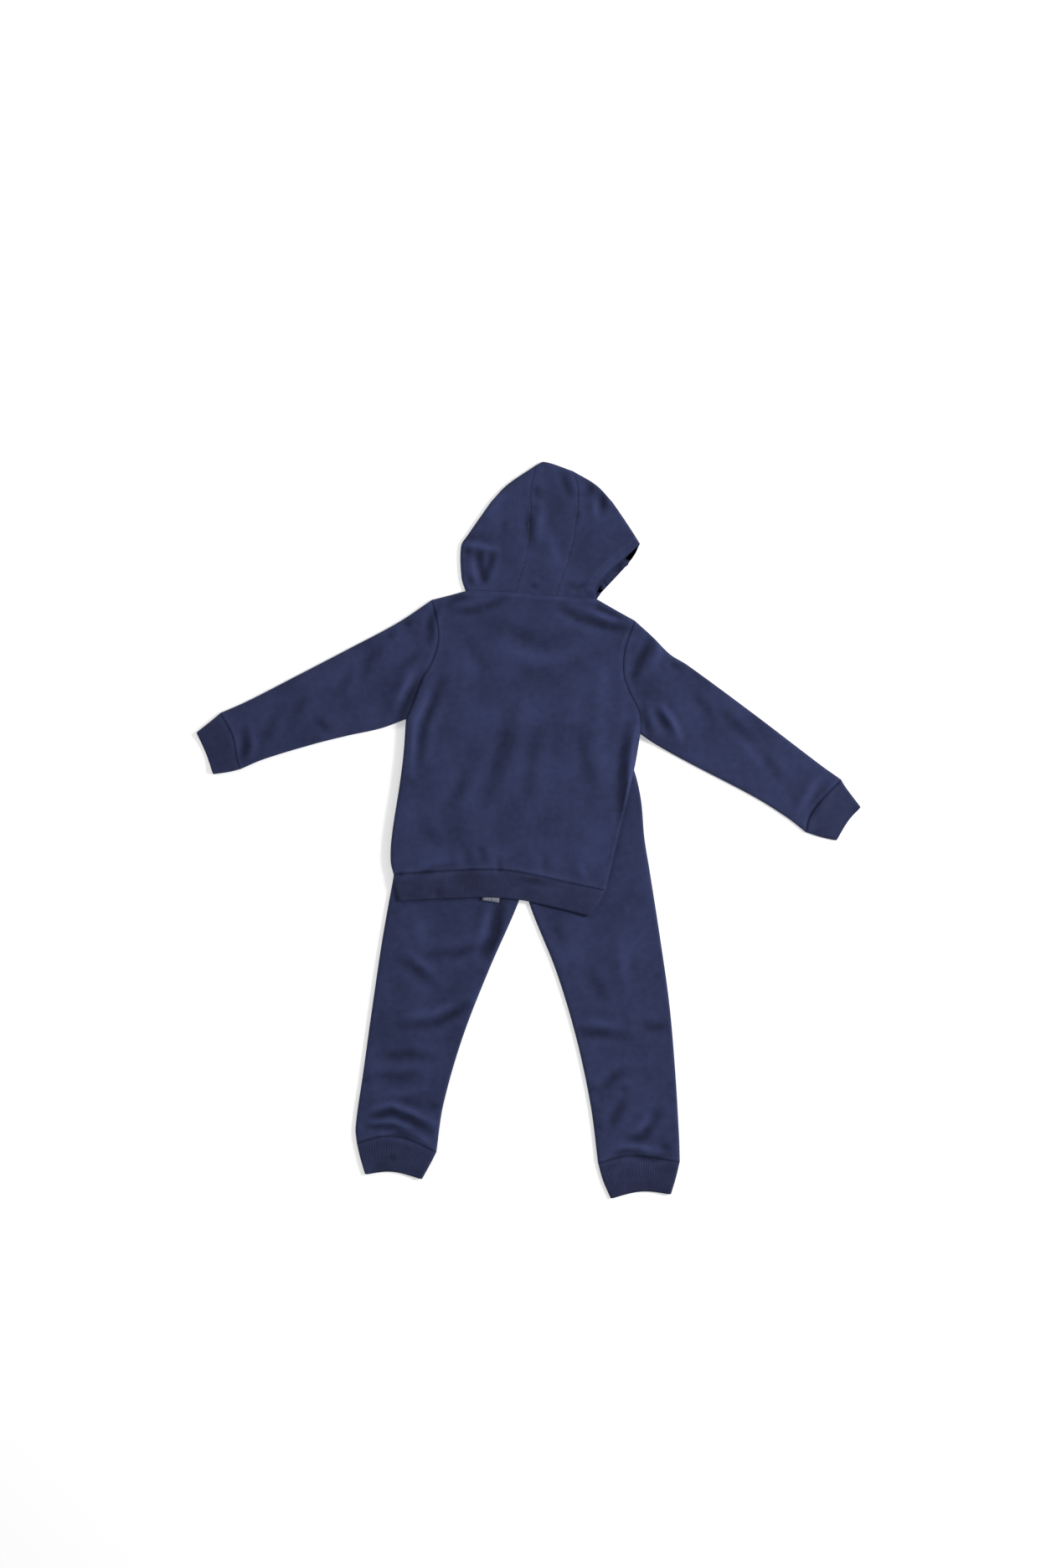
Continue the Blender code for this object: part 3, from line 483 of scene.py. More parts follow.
def patch(left, right, bottom, top):
    """Grid of plan points filling four sides: rows go up, columns go right."""
    u = shares(left, right)[:, None, None]
    v = shares(bottom, top)[None, :, None]
    across = (1 - v) * left[:, None] + v * right[:, None]
    upward = (1 - u) * bottom[None] + u * top[None]
    corners = (
        (1 - u) * (1 - v) * bottom[0] + (1 - u) * v * bottom[-1]
        + u * (1 - v) * top[0] + u * v * top[-1]
    )
    return across + upward - corners


def both(*names):
    """Names of lines on the left and on the right."""
    return [f"{name}_{word}" for name in names for word in ("left", "right")]


def ease(t):
    """Smooth step from 0 to 1."""
    t = np.clip(t, 0, 1)
    return t * t * (3 - 2 * t)


def bump(t):
    """Smooth hump of height 1 and half width 1."""
    return np.exp(-np.minimum(t * t, 700.0))


def nearest(plan, line, reach=FAR):
    """Distance from each plan point to a line, positive to its right, and the share of its run.

    Points further away than the reach count as very far.
    """
    every = plan.reshape(-1, 2)
    close = np.all((every > line.min(0) - reach) & (every < line.max(0) + reach), axis=1)
    flat = every[close]
    best = np.full(len(flat), FAR)
    side = np.ones(len(flat))
    share = np.zeros(len(flat))
    for k, (a, b) in enumerate(zip(line[:-1], line[1:])):
        step = b - a
        rel = flat - a
        t = np.clip(rel @ step / max(step @ step, TINY), 0, 1)
        off = rel - t[:, None] * step
        away = np.sqrt((off * off).sum(1))
        closer = away < best
        best = np.where(closer, away, best)
        side = np.where(closer, np.sign(rel[:, 0] * step[1] - rel[:, 1] * step[0] + TINY), side)
        share = np.where(closer, (k + t) / (len(line) - 1), share)
    away = np.full(len(every), FAR)
    away[close] = best * side
    run = np.zeros(len(every))
    run[close] = share
    return away.reshape(plan.shape[:-1]), run.reshape(plan.shape[:-1])


def distance(plan, lines, reach):
    """Shortest distance from each plan point to a set of lines, where it is within the reach."""
    return np.min([np.abs(nearest(plan, line, reach)[0]) for line in lines], axis=0)


def inside(plan, ring):
    """Whether each plan point lies inside a closed ring of points."""
    hits = np.zeros(plan.shape[:-1], int)
    for a, b in zip(ring, np.roll(ring, -1, axis=0)):
        crosses = (a[1] > plan[..., 1]) != (b[1] > plan[..., 1])
        rise = b[1] - a[1] if b[1] != a[1] else TINY
        hits += crosses & (plan[..., 0] < a[0] + (plan[..., 1] - a[1]) * (b[0] - a[0]) / rise)
    return hits % 2 == 1


class Garment:
    """Height of a garment's layers over the plan."""

    def __init__(self, plan, outline, ends, folds, seams, creases, seed, ring=(), under=None):
        self.lines = {name: Line(points) for name, points in plan.items()}
        self.outline = [self.run(name) for name in outline]
        self.ends = [self.lines[name].even(12) for name in ends]
        self.folds = [(width, height, page(points)) for width, height, *points in folds]
        self.seams = [(self.run(*names), *rest) for names, *rest in seams]
        self.creases = [
            (shifted(self.lines[name].even(steps)[part], offset), height, width)
            for name, steps, part, offset, height, width in creases
        ]
        self.ring = self.run(*ring) if ring else None
        self.under = under
        pick = np.random.default_rng(seed)
        turn = pick.uniform(0, np.pi, WAVES)
        self.wave_length = pick.uniform(*WAVE_LENGTHS, WAVES)
        self.wave_way = np.stack([np.cos(turn), np.sin(turn)])
        self.wave_start = pick.uniform(0, 2 * np.pi, WAVES)

    def run(self, *names):
        """Lines joined in order, those whose name starts with a minus turned round."""
        parts = []
        for name in names:
            line = self.lines[name.lstrip("-")]
            points = line.even(max(3, round(line.along[-1] / CHORD)))
            parts.append(points[::-1] if name[0] == "-" else points)
        return chain(*parts)

    def border(self, spans, *names):
        """Points along joined lines, close together at both ends, and the index of the first joint."""
        lines = [self.lines[name] for name in names]
        reached = np.cumsum([line.along[-1] for line in lines])
        counts = np.diff(np.concatenate([[0], np.round(reached / reached[-1] * spans)])).astype(int)
        parts = [
            line.sample(count, k == 0, k == len(lines) - 1)
            for k, (line, count) in enumerate(zip(lines, counts))
        ]
        return chain(*parts), len(parts[0]) - 1

    def base(self, plan):
        """Height of what the garment lies on."""
        return self.under.cover(plan) if self.under else np.zeros(plan.shape[:-1])

    def fold(self, plan):
        """Height that the folds add, each with lower banks opposite beside it and fading ends."""
        total = np.zeros(plan.shape[:-1])
        for width, height, line in self.folds:
            away, share = nearest(plan, line, 4 * width)
            strength = FOLD_ENDS + (1 - FOLD_ENDS) * np.sin(np.pi * share) ** FOLD_FULLNESS
            shape = bump(away / width) - FLANK * bump((np.abs(away) - 2 * width) / width)
            total += height * strength * shape
        return total

    def waves(self, plan):
        """Soft unevenness of cloth that was smoothed by hand."""
        total = np.zeros(plan.shape[:-1])
        for k in range(WAVES):
            phase = plan @ self.wave_way[:, k] * 2 * np.pi / self.wave_length[k] + self.wave_start[k]
            total += self.wave_length[k] * np.sin(phase)
        return total * WAVE_SLOPE

    def sewing(self, plan):
        """Height that the seams and their stitch rows add."""
        total = np.zeros(plan.shape[:-1])
        for line, depth, rows, band in self.seams:
            away, _ = nearest(plan, line, SEAM_REACH)
            total -= depth * bump(away / GROOVE_WIDTH)
            if band:
                share = np.abs(away) / abs(band) + FAR * (away * band < 0)
                total += BAND_HEIGHT * (1 - ease((share - BAND_FLAT) / (1 - BAND_FLAT)))
            else:
                total += PUFF * depth * bump((np.abs(away) - PUFF_PLACE) / PUFF_WIDTH)
            for row in rows:
                total -= DIP * bump((away - row) / DIP_WIDTH)
        for line, height, width in self.creases:
            away, share = nearest(plan, line, SEAM_REACH)
            total += height * bump(away / width) * ease(np.minimum(share, 1 - share) * CREASE_FADE)
        return total

    def relief(self, plan):
        """Height that folds, unevenness and sewing add, without the outline's share."""
        return self.fold(plan) + self.waves(plan) + self.sewing(plan)

    def upper(self, plan):
        """Top of the upper layer."""
        depth = distance(plan, self.outline, EDGE_REACH)
        rounded = EDGE_HEIGHT * (2 - (1 - np.clip(depth / EDGE_WIDTH, 0, 1)) ** 2)
        settled = (2 * EDGE_HEIGHT - FLAT_HEIGHT) * ease((depth - EDGE_WIDTH) / SETTLED)
        sag = SAG * (1 - ease(distance(plan, self.ends, EDGE_REACH) / SAG_WIDTH)) * ease(depth / SAG_WIDTH)
        loose = self.fold(plan) + self.waves(plan)
        relief = np.maximum(loose, DEEPEST_FOLD + sag) * ease(depth / FOLD_FADE)
        sewing = self.sewing(plan) * ease(depth / EDGE_WIDTH)
        return self.base(plan) + rounded - settled - sag + relief + sewing

    def lower(self, plan):
        """Underside of the lower layer, which rests flat but lifts a little under the ridges."""
        depth = distance(plan, self.outline, EDGE_REACH)
        lifted = np.clip(self.fold(plan) + self.waves(plan), 0, MOST_LIFT / LIFT) * LIFT
        turned = EDGE_HEIGHT * (1 - np.clip(depth / EDGE_WIDTH, 0, 1)) ** 2
        return self.base(plan) + turned + lifted * ease((depth - EDGE_WIDTH) / FOLD_FADE)

    def cover(self, plan):
        """Height of a second garment lying over this one and coming down beside it."""
        away = distance(plan, [np.vstack([self.ring, self.ring[:1]])], DRAPE_START + DRAPE_WIDTH)
        away = np.where(inside(plan, self.ring), 0, away)
        drop = ease((away - DRAPE_START) / DRAPE_WIDTH)
        return (2 * EDGE_HEIGHT + CLEARANCE) * (1 - drop)


def surface_normals(points):
    """Upward unit normals of a grid of points."""
    up = unit(np.cross(np.gradient(points, axis=1), np.gradient(points, axis=0)))
    return up * np.where(up[..., 2:] < 0, -1, 1)


def inward(plan, marks):
    """Plan directions from marked outline points to the inside of the grid."""
    rows, columns = marks.shape
    result = np.zeros(plan.shape)
    for i, j in zip(*np.nonzero(marks)):
        near = [(i, j + 1), (i, j - 1), (i + 1, j), (i - 1, j)]
        near += [(i + a, j + b) for a in (-1, 1) for b in (-1, 1)]
        free = [(a, b) for a, b in near if 0 <= a < rows and 0 <= b < columns and not marks[a, b]]
        result[i, j] = unit(plan[free[0]] - plan[i, j])
    return result


class Cloth:
    """A piece of cloth: quads over outer points, each with an inner point behind it."""

    def __init__(self, name, thickness=CLOTH):
        self.name = name
        self.thickness = thickness
        self.outer = np.zeros((0, 3))
        self.inner = np.zeros((0, 3))
        self.wale = np.zeros(0)
        self.tone = np.zeros(0)
        self.quads = []
        self.cuts = []

    def add(self, garment, plan, side, marks, seams, gap=0.0, ribs=False):
        """Add a layer over a plan grid. side is 1 for the upper layer and -1 for the lower one.

        marks has True at the points on the outline, gap parts them from the other layer there,
        and each seam is a run of border points with the run beside it, towards which it is drawn.
        """
        height = garment.upper if side > 0 else garment.lower
        z = np.where(marks, garment.base(plan) + EDGE_HEIGHT + side * gap, height(plan))
        push = -side * self.thickness * surface_normals(np.concatenate([plan, z[..., None]], axis=-1))
        back = plan.copy()
        for border, beside in seams:
            back[border] += unit(plan[beside] - plan[border]) * SEAM_GAP / 2
            along = unit(np.gradient(plan[border], axis=0))
            push[border][..., :2] = along * (push[border][..., :2] * along).sum(-1, keepdims=True)
        outer = np.concatenate([back, z[..., None]], axis=-1)
        flat = np.concatenate([inward(plan, marks), np.zeros(marks.shape + (1,))], axis=-1)
        push = np.where(marks[..., None], self.thickness * flat, push)
        inner = outer + push
        wale = np.ones(marks.shape)
        if ribs:
            count = round(np.linalg.norm(np.diff(plan[0], axis=0), axis=1).sum() / RIB_PITCH)
            wave = np.cos(np.linspace(0, 2 * np.pi * count, plan.shape[1]))[None]
            fade = np.ones(plan.shape[0])
            for border, _ in seams:
                fade[border[0]] = RIB_SEWN
            outer += unit(push) * (RIB_DEPTH * (1 - wave) / 2 * fade[:, None])[..., None]
            # Share of the rib's crest, which the finish turns into painted shade between the wales
            wale = np.broadcast_to((1 + wave) / 2, marks.shape)
        index = np.arange(marks.size).reshape(marks.shape) + len(self.outer)
        self.outer = np.vstack([self.outer, outer.reshape(-1, 3)])
        self.inner = np.vstack([self.inner, inner.reshape(-1, 3)])
        self.wale = np.concatenate([self.wale, wale.reshape(-1)])
        # Painted shade in troughs and grooves and painted light on ridges: a colour share from the relief's
        # height
        tone = np.clip(0.5 + garment.relief(plan) / FOLD_SHADE_RANGE, 0, 1)
        self.tone = np.concatenate([self.tone, tone.reshape(-1)])
        widths = np.linalg.norm(np.diff(plan, axis=1), axis=-1).sum(1)
        lengths = np.linalg.norm(np.diff(plan, axis=0), axis=-1).sum(0)
        a = plan[1:, 1:] - plan[:-1, :-1]
        b = plan[1:, :-1] - plan[:-1, 1:]
        area = np.abs(a[..., 0] * b[..., 1] - a[..., 1] * b[..., 0]).sum() / 2
        self.cuts.append((widths.max() * MM, lengths.max() * MM, area * MM * MM))
        return index

    def face(self, index):
        """Cover an index grid with quads."""
        low = index[:-1]
        high = index[1:]
        grid = np.stack([low[:, :-1], low[:, 1:], high[:, 1:], high[:, :-1]], axis=-1)
        self.quads += grid.reshape(-1, 4).tolist()

    def build(self, finish, along=(0.0, 1.0)):
        count = len(self.outer)
        uses = {}
        for quad in self.quads:
            for a, b in zip(quad, quad[1:] + quad[:1]):
                key = (a, b) if a < b else (b, a)
                uses[key] = None if key in uses else (a, b)
        rims = [(e[1], e[0], e[0] + count, e[1] + count) for e in uses.values() if e]
        walls = self.quads + [[i + count for i in reversed(q)] for q in self.quads] + rims
        points = np.vstack([self.outer, self.inner])
        points[:, :2] -= CENTRE
        used = np.unique(np.array(walls))
        place = np.zeros(len(points), int)
        place[used] = np.arange(len(used))
        walls = place[np.array(walls)]
        points = points[used]
        mesh = bpy.data.meshes.new(self.name)
        mesh.from_pydata((points * MM).tolist(), [], walls.tolist())
        for label, values, behind in (("wale", self.wale, 1.0), ("tone", self.tone, 0.5)):
            values = np.concatenate([values, np.full(count, behind)])[used].astype(np.float32)
            mesh.attributes.new(label, "FLOAT", "POINT").data.foreach_set("value", values)
        grain = unit(np.array(along, float))
        across = np.array([grain[1], -grain[0]])
        flat = np.stack([points[:, :2] @ across, points[:, :2] @ grain], axis=1) * MM
        weave = mesh.uv_layers.new(name="cloth")
        weave.data.foreach_set("uv", flat[walls.reshape(-1)].astype(np.float32).reshape(-1))
        mesh.shade_smooth()
        piece = finished(self.name, mesh, finish)
        close_up(mesh)
        width = max(cut[0] for cut in self.cuts)
        if len(self.cuts) > 1:
            width *= 2
        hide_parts(self.name)
        return piece


def close_up(mesh):
    """Turn a closed mesh's faces outwards."""
    work = bmesh.new()
    work.from_mesh(mesh)
    bmesh.ops.recalc_face_normals(work, faces=work.faces)
    work.to_mesh(mesh)
    work.free()


def finished(name, mesh, finish):
    """Link a mesh as one named piece that lies still with its material."""
    mesh.materials.clear()
    mesh.materials.append(finish)
    piece = bpy.data.objects.new(name + "_dressed", mesh)
    bpy.context.scene.collection.objects.link(piece)
    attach(piece, "root")
    return piece


def fill(tree, node, **values):
    """Set or link a node's sockets, each named with _ for a space, or by its number after an _."""
    for name, value in values.items():
        spot = node.inputs[int(name[1:])] if name[0] == "_" else node.inputs[name.replace("_", " ")]
        if isinstance(value, Shade):
            tree.links.new(value.socket, spot)
        else:
            spot.default_value = value


class Shade:
    """A value in a material's node tree that can take part in arithmetic."""

    def __init__(self, tree, socket):
        self.tree = tree
        self.socket = socket

    def node(self, kind, settings=None, **values):
        """Add any node: its settings first, then its sockets, and give its first output."""
        made = self.tree.nodes.new("ShaderNode" + kind)
        for name, value in (settings or {}).items():
            setattr(made, name, value)
        fill(self.tree, made, **values)
        shown = [socket for socket in made.outputs if socket.enabled]
        return Shade(self.tree, shown[0])

    def maths(self, operation, *terms):
        return self.node("Math", {"operation": operation}, **{f"_{i}": t for i, t in enumerate(terms)})

    def __abs__(self):
        return self.maths("ABSOLUTE", self)

    def sine(self):
        return self.maths("SINE", self)

    def fraction(self):
        return self.maths("FRACT", self)

    def mixed(self, colours):
        """Colour between a dark and a light one, at this share."""
        dark, light = (linear(*colour) for colour in colours)
        made = self.node("Mix", {"data_type": "RGBA"}, _0=self, _6=dark, _7=light)
        return Shade(self.tree, made.socket.node.outputs[2])


for sign, operation in (
    ("add", "ADD"), ("sub", "SUBTRACT"), ("mul", "MULTIPLY"), ("truediv", "DIVIDE"), ("pow", "POWER"),
):
    setattr(Shade, f"__{sign}__", lambda self, other, do=operation: self.maths(do, self, other))
    setattr(Shade, f"__r{sign}__", lambda self, other, do=operation: self.maths(do, other, self))


def linear(red, green, blue):
    """Linear colour of an sRGB colour in steps of 255."""
    parts = [part / 255 for part in (red, green, blue)]
    return [p / 12.92 if p <= 0.04045 else ((p + 0.055) / 1.055) ** 2.4 for p in parts] + [1]


def start(name):
    """A new material, its tree and its Principled shader."""
    material = bpy.data.materials.new(name)
    material.use_nodes = True
    tree = material.node_tree
    return material, tree, tree.nodes["Principled BSDF"]


def coordinates(tree):
    """Object coordinates, and the two plan coordinates along the cloth."""
    place = tree.nodes.new("ShaderNodeTexCoord")
    cloth = tree.nodes.new("ShaderNodeUVMap")
    cloth.uv_map = "cloth"
    split = tree.nodes.new("ShaderNodeSeparateXYZ")
    tree.links.new(cloth.outputs["UV"], split.inputs[0])
    return [Shade(tree, output) for output in (place.outputs["Object"], *split.outputs[:2])]


def attribute(tree, name):
    """A number kept at the points of the mesh."""
    kept = tree.nodes.new("ShaderNodeAttribute")
    kept.attribute_name = name
    return Shade(tree, kept.outputs["Fac"])


def noise(place, scale, detail=2.0, roughness=0.5):
    """Noise between about 0.2 and 0.8 over Object coordinates."""
    return place.node("TexNoise", Vector=place, Scale=scale, Detail=detail, Roughness=roughness)


def raised(place, strength, depth, height):
    """Normal of a surface with a fine relief of this depth in millimetres."""
    return place.node("Bump", Strength=strength, Distance=depth * MM, Height=height)


def knit(across, along):
    """Rows of small V stitches."""
    lean = abs((across / (WALE_PITCH * MM)).fraction() - 0.5) * 2.0
    row = ((along / (COURSE_PITCH * MM) + lean * 0.5) * (2 * np.pi)).sine()
    return (row * 0.5 + 0.5) * (1.0 - lean ** 6.0)


def knitted(name, colours, sheen, ribbed=False):
    """Cotton knit with a soft nap, painted shade in troughs and light on ridges, and painted shade between
    rib wales.
    """
    material, tree, shader = start(name)
    place, across, along = coordinates(tree)
    nap = noise(place, NAP_SCALE, 4.0, 0.6)
    clouds = noise(place, CLOUD_SCALE, 3.0)
    fibres = noise(place, FIBRE_SCALE)
    stitch = knit(across, along)
    share = clouds * CLOUDS + nap * NAP + (fibres + stitch) * FIBRES
    # Painted shade in the troughs and painted light on the ridges, from the kept relief share
    share = share + attribute(tree, "tone") * FOLD_SHADE - SHADE_SHIFT
    height = stitch * 0.5 + fibres * 0.5 + nap * 0.6
    if ribbed:
        # Painted shade between the ribs' wales: darker colour where the crest share is low
        share = share + attribute(tree, "wale") * 0.3 - 0.2
        height = height * 0.7
    fill(
        tree, shader, Base_Color=share.mixed(colours), Roughness=CLOTH_ROUGHNESS + fibres * 0.14,
        Normal=raised(place, BUMP_STRENGTH, BUMP_HEIGHT, height), Specular_IOR_Level=0.25,
        Sheen_Weight=sheen, Sheen_Roughness=0.45, Sheen_Tint=linear(*SHEEN_TINT),
    )
    return material


def make_finishes():
    """Every material, by its use."""
    made = {
        "fleece": knitted("navy_fleece", FLEECE_COLOURS, FLEECE_SHEEN),
        "rib": knitted("navy_rib", RIB_COLOURS, RIB_SHEEN, ribbed=True),
    }

    made["thread"], tree, shader = start("navy_thread")
    place, _, _ = coordinates(tree)
    twist = noise(place, 900.0, 1.0)
    fill(tree, shader, Base_Color=twist.mixed(THREAD_COLOURS), Roughness=0.5 + twist * 0.2, Sheen_Weight=0.2)

    made["tape"], tree, shader = start("grey_zip_tape")
    place, across, along = coordinates(tree)
    twill = (((across + along) / (TWILL_PITCH * MM)) * (2 * np.pi)).sine() * 0.5 + 0.5
    worn = noise(place, 300.0)
    share = twill * 0.6 + worn * 0.4
    fill(
        tree, shader, Base_Color=share.mixed(TAPE_COLOURS), Roughness=0.7 + worn * 0.15,
        Normal=raised(place, 0.5, 0.15, twill),
    )

    made["metal"], tree, shader = start("light_grey_metal")
    place, _, _ = coordinates(tree)
    rubbed = noise(place, 420.0, 4.0)
    fill(
        tree, shader, Base_Color=rubbed.mixed(METAL_COLOURS), Roughness=0.24 + rubbed * 0.22,
        Normal=raised(place, 0.2, 0.05, rubbed), Metallic=1.0,
    )
    return made


LEFT_SEAM = (np.s_[:, 0], np.s_[:, 1])
RIGHT_SEAM = (np.s_[:, -1], np.s_[:, -2])
LOW_SEAM = (np.s_[0, :], np.s_[1, :])
HIGH_SEAM = (np.s_[-1, :], np.s_[-2, :])


def marked(plan, left=False, right=False, bottom=False, top=False):
    """Marks for the sides of a grid on the outline: True, or a slice of the side."""
    marks = np.zeros(plan.shape[:2], bool)
    for side, column in ((left, 0), (right, -1)):
        if side is not False:
            marks[slice(None) if side is True else side, column] = True
    for side, row in ((bottom, 0), (top, -1)):
        if side is not False:
            marks[row, slice(None) if side is True else side] = True
    return marks


def panel(name, garment, plan, side, marks, seams, along=(0.0, 1.0)):
    """A flat-cut panel of one layer."""
    cloth = Cloth(name)
    cloth.face(cloth.add(garment, plan, side, marks, seams, gap=SEAM_GAP))
    return cloth.build(FINISHES["fleece"], along)


def tube(name, garment, plan, seams, along=(0.0, 1.0), ribs=False):
    """A flattened tube whose first and last grid columns are its two edges."""
    marks = marked(plan, left=True, right=True)
    cloth = Cloth(name)
    over = cloth.add(garment, plan, 1, marks, seams, ribs=ribs)
    below = cloth.add(garment, plan, -1, marks, seams, ribs=ribs)
    below[:, 0] = over[:, 0]
    below[:, -1] = over[:, -1]
    cloth.face(over)
    cloth.face(below)
    slot = "rib" if ribs else "fleece"
    return cloth.build(FINISHES[slot], along)


def ribbed_plan(left, right, bottom, top, rows):
    """Grid of a ribbed piece, with enough columns for every rib."""
    columns = round(top.along[-1] / RIB_PITCH) * RIB_STEPS
    return patch(left.even(rows), right.even(rows), bottom.even(columns), top.even(columns))


def make_joggers(g):
    """Back and front of each leg, the waistband and the two ankle cuffs."""
    for word, heading in (("left", (0.13, 1.0)), ("right", (-0.1, 1.0))):
        start = word == "left"
        outer, _ = g.border(LEG_ROWS, "outer_" + word, "hip_" + word)
        inner, crotch = g.border(LEG_ROWS, "inseam_" + word, "centre")
        hem, waist = g.lines["cuff_seam_" + word], g.lines["waist_" + word]
        sides = (outer, inner) if start else (inner, outer)
        plan = patch(*sides, hem.sample(LEG_COLUMNS), waist.sample(LEG_COLUMNS))
        inseam = slice(0, crotch + 1)
        marks = marked(plan, left=start or inseam, right=not start or inseam)
        column, beside = (-1, -2) if start else (0, 1)
        centre = (np.s_[crotch:, column], np.s_[crotch:, beside])
        seams = (LOW_SEAM, HIGH_SEAM, centre)
        front = panel("joggers_front_" + word, g, plan, -1, marks, seams, heading)
        panel("joggers_back_" + word, g, plan, 1, marks, seams, heading)
        order = ("outer", "inner") if start else ("inner", "outer")
        lines = [g.lines[f"cuff_{side}_{word}"] for side in order]
        end, seam = g.lines["cuff_end_" + word], g.lines["cuff_seam_" + word]
        plan = ribbed_plan(*lines, end, seam, CUFF_ROWS)
        tube("ankle_cuff_" + word, g, plan, (HIGH_SEAM,), heading, ribs=True)
    seam, _ = g.border(LEG_COLUMNS * 2, "waist_left", "waist_right")
    end, _ = g.border(LEG_COLUMNS * 2, "band_end_left", "band_end_right")
    sides = [g.lines["band_" + word].sample(BAND_ROWS, True, False) for word in ("left", "right")]
    tube("waistband", g, patch(*sides, seam, end), (LOW_SEAM,))


def drawn(line, place, end):
    """A line with one end drawn to a place, its other points following less and less."""
    share = np.linspace(0, 1, len(line))[::1 if end else -1, None]
    return line + (place - line[end]) * share ** DRAW_FADE


def make_body(g):
    """Back and two fronts."""
    left, low_left = g.border(BODY_ROWS, "side_left", "armhole_left")
    right, low_right = g.border(BODY_ROWS, "side_right", "armhole_right")
    arm_left = (np.s_[low_left:, 0], np.s_[low_left:, 1])
    arm_right = (np.s_[low_right:, -1], np.s_[low_right:, -2])
    zip_line = g.lines["zip"].even(len(left) - 1)
    for word, edge, low, arm, top_lines in (
        ("left", left, low_left, arm_left, ("shoulder_left", "front_neck_left")),
        ("right", right, low_right, arm_right, ("front_neck_right", "shoulder_right")),
    ):
        start = word == "left"
        near = -1 if start else 0
        seam = shifted(zip_line, -ZIP_HALF_WIDTH if start else ZIP_HALF_WIDTH)
        crest, tip = g.border(FRONT_COLUMNS, *top_lines)
        hem = drawn(g.lines["hem_" + word].sample(FRONT_COLUMNS), seam[0], near)
        seam[-1] = crest[near]
        plan = patch(*((edge, seam) if start else (seam, edge)), hem, crest)
        shoulder, neck = slice(0, tip + 1), slice(tip, None)
        if not start:
            shoulder, neck = neck, shoulder
        marks = marked(plan, top=shoulder, **{word: slice(0, low + 1)})
        seams = (LOW_SEAM, arm, (np.s_[-1, neck], np.s_[-2, neck]))
        panel("jacket_front_" + word, g, plan, -1, marks, seams)

    hem = g.lines["hem"].sample(BODY_COLUMNS)
    neck = ("neck_left", "neck_middle", "neck_right")
    crest, first = g.border(BODY_COLUMNS, "shoulder_left", *neck, "shoulder_right")
    last = int(np.argmin(np.linalg.norm(crest - g.lines["shoulder_right"].points[0], axis=1)))
    plan = patch(left, right, hem, crest)
    marks = marked(plan, slice(0, low_left + 1), slice(0, low_right + 1), top=slice(0, first + 1))
    marks |= marked(plan, top=slice(last, None))
    collar = (np.s_[-1, first:last + 1], np.s_[-2, first:last + 1])
    panel("jacket_back", g, plan, 1, marks, (LOW_SEAM, arm_left, arm_right, collar))


def make_hem_rib(g):
    """Hem rib: one band behind and one on each side of the zip in front."""
    left, right = g.lines["rib_left"], g.lines["rib_right"]
    for word, edge, sign in (("left", left, -1), ("right", right, 1)):
        start = word == "left"
        near = -1 if start else 0
        seam = shifted(g.lines["rib_zip"].even(CUFF_ROWS), sign * ZIP_HALF_WIDTH)
        columns = round(g.lines["hem_" + word].along[-1] / RIB_PITCH) * RIB_STEPS
        low, high = g.lines["rib_end_" + word].even(columns), g.lines["hem_" + word].even(columns)
        low, high = drawn(low, seam[0], near), drawn(high, seam[-1], near)
        edge = edge.even(CUFF_ROWS)
        plan = patch(*((edge, seam) if start else (seam, edge)), low, high)
        cloth = Cloth("hem_rib_front_" + word)
        marks = marked(plan, left=start, right=not start)
        cloth.face(cloth.add(g, plan, -1, marks, (HIGH_SEAM,), gap=SEAM_GAP, ribs=True))
        cloth.build(FINISHES["rib"])
    plan = ribbed_plan(left, right, g.lines["rib_end"], g.lines["hem"], CUFF_ROWS)
    cloth = Cloth("hem_rib_back")
    marks = marked(plan, left=True, right=True)
    cloth.face(cloth.add(g, plan, 1, marks, (HIGH_SEAM,), gap=SEAM_GAP, ribs=True))
    cloth.build(FINISHES["rib"])


def make_sleeves(g):
    """Each sleeve is one folded piece sewn into a tube, with a rib cuff."""
    for word, heading in (("left", (-0.88, -0.47)), ("right", (0.82, -0.57))):
        edges = [g.lines[f"sleeve_{side}_{word}"].sample(SLEEVE_ROWS) for side in ("low", "top")]
        ends = [g.lines[f"{kind}_{word}"].sample(SLEEVE_COLUMNS) for kind in ("armhole", "wrist_seam")]
        plan = patch(*edges, *ends)
        tube("sleeve_" + word, g, plan, (LOW_SEAM, HIGH_SEAM), heading)
        low, top = g.lines["wrist_low_" + word], g.lines["wrist_top_" + word]
        seam, end = g.lines["wrist_seam_" + word], g.lines["wrist_end_" + word]
        columns = round(seam.along[-1] / RIB_PITCH) * RIB_STEPS
        plan = patch(low.even(CUFF_ROWS), top.even(CUFF_ROWS), seam.even(columns), end.even(columns))
        tube("sleeve_cuff_" + word, g, plan, (LOW_SEAM,), heading, ribs=True)


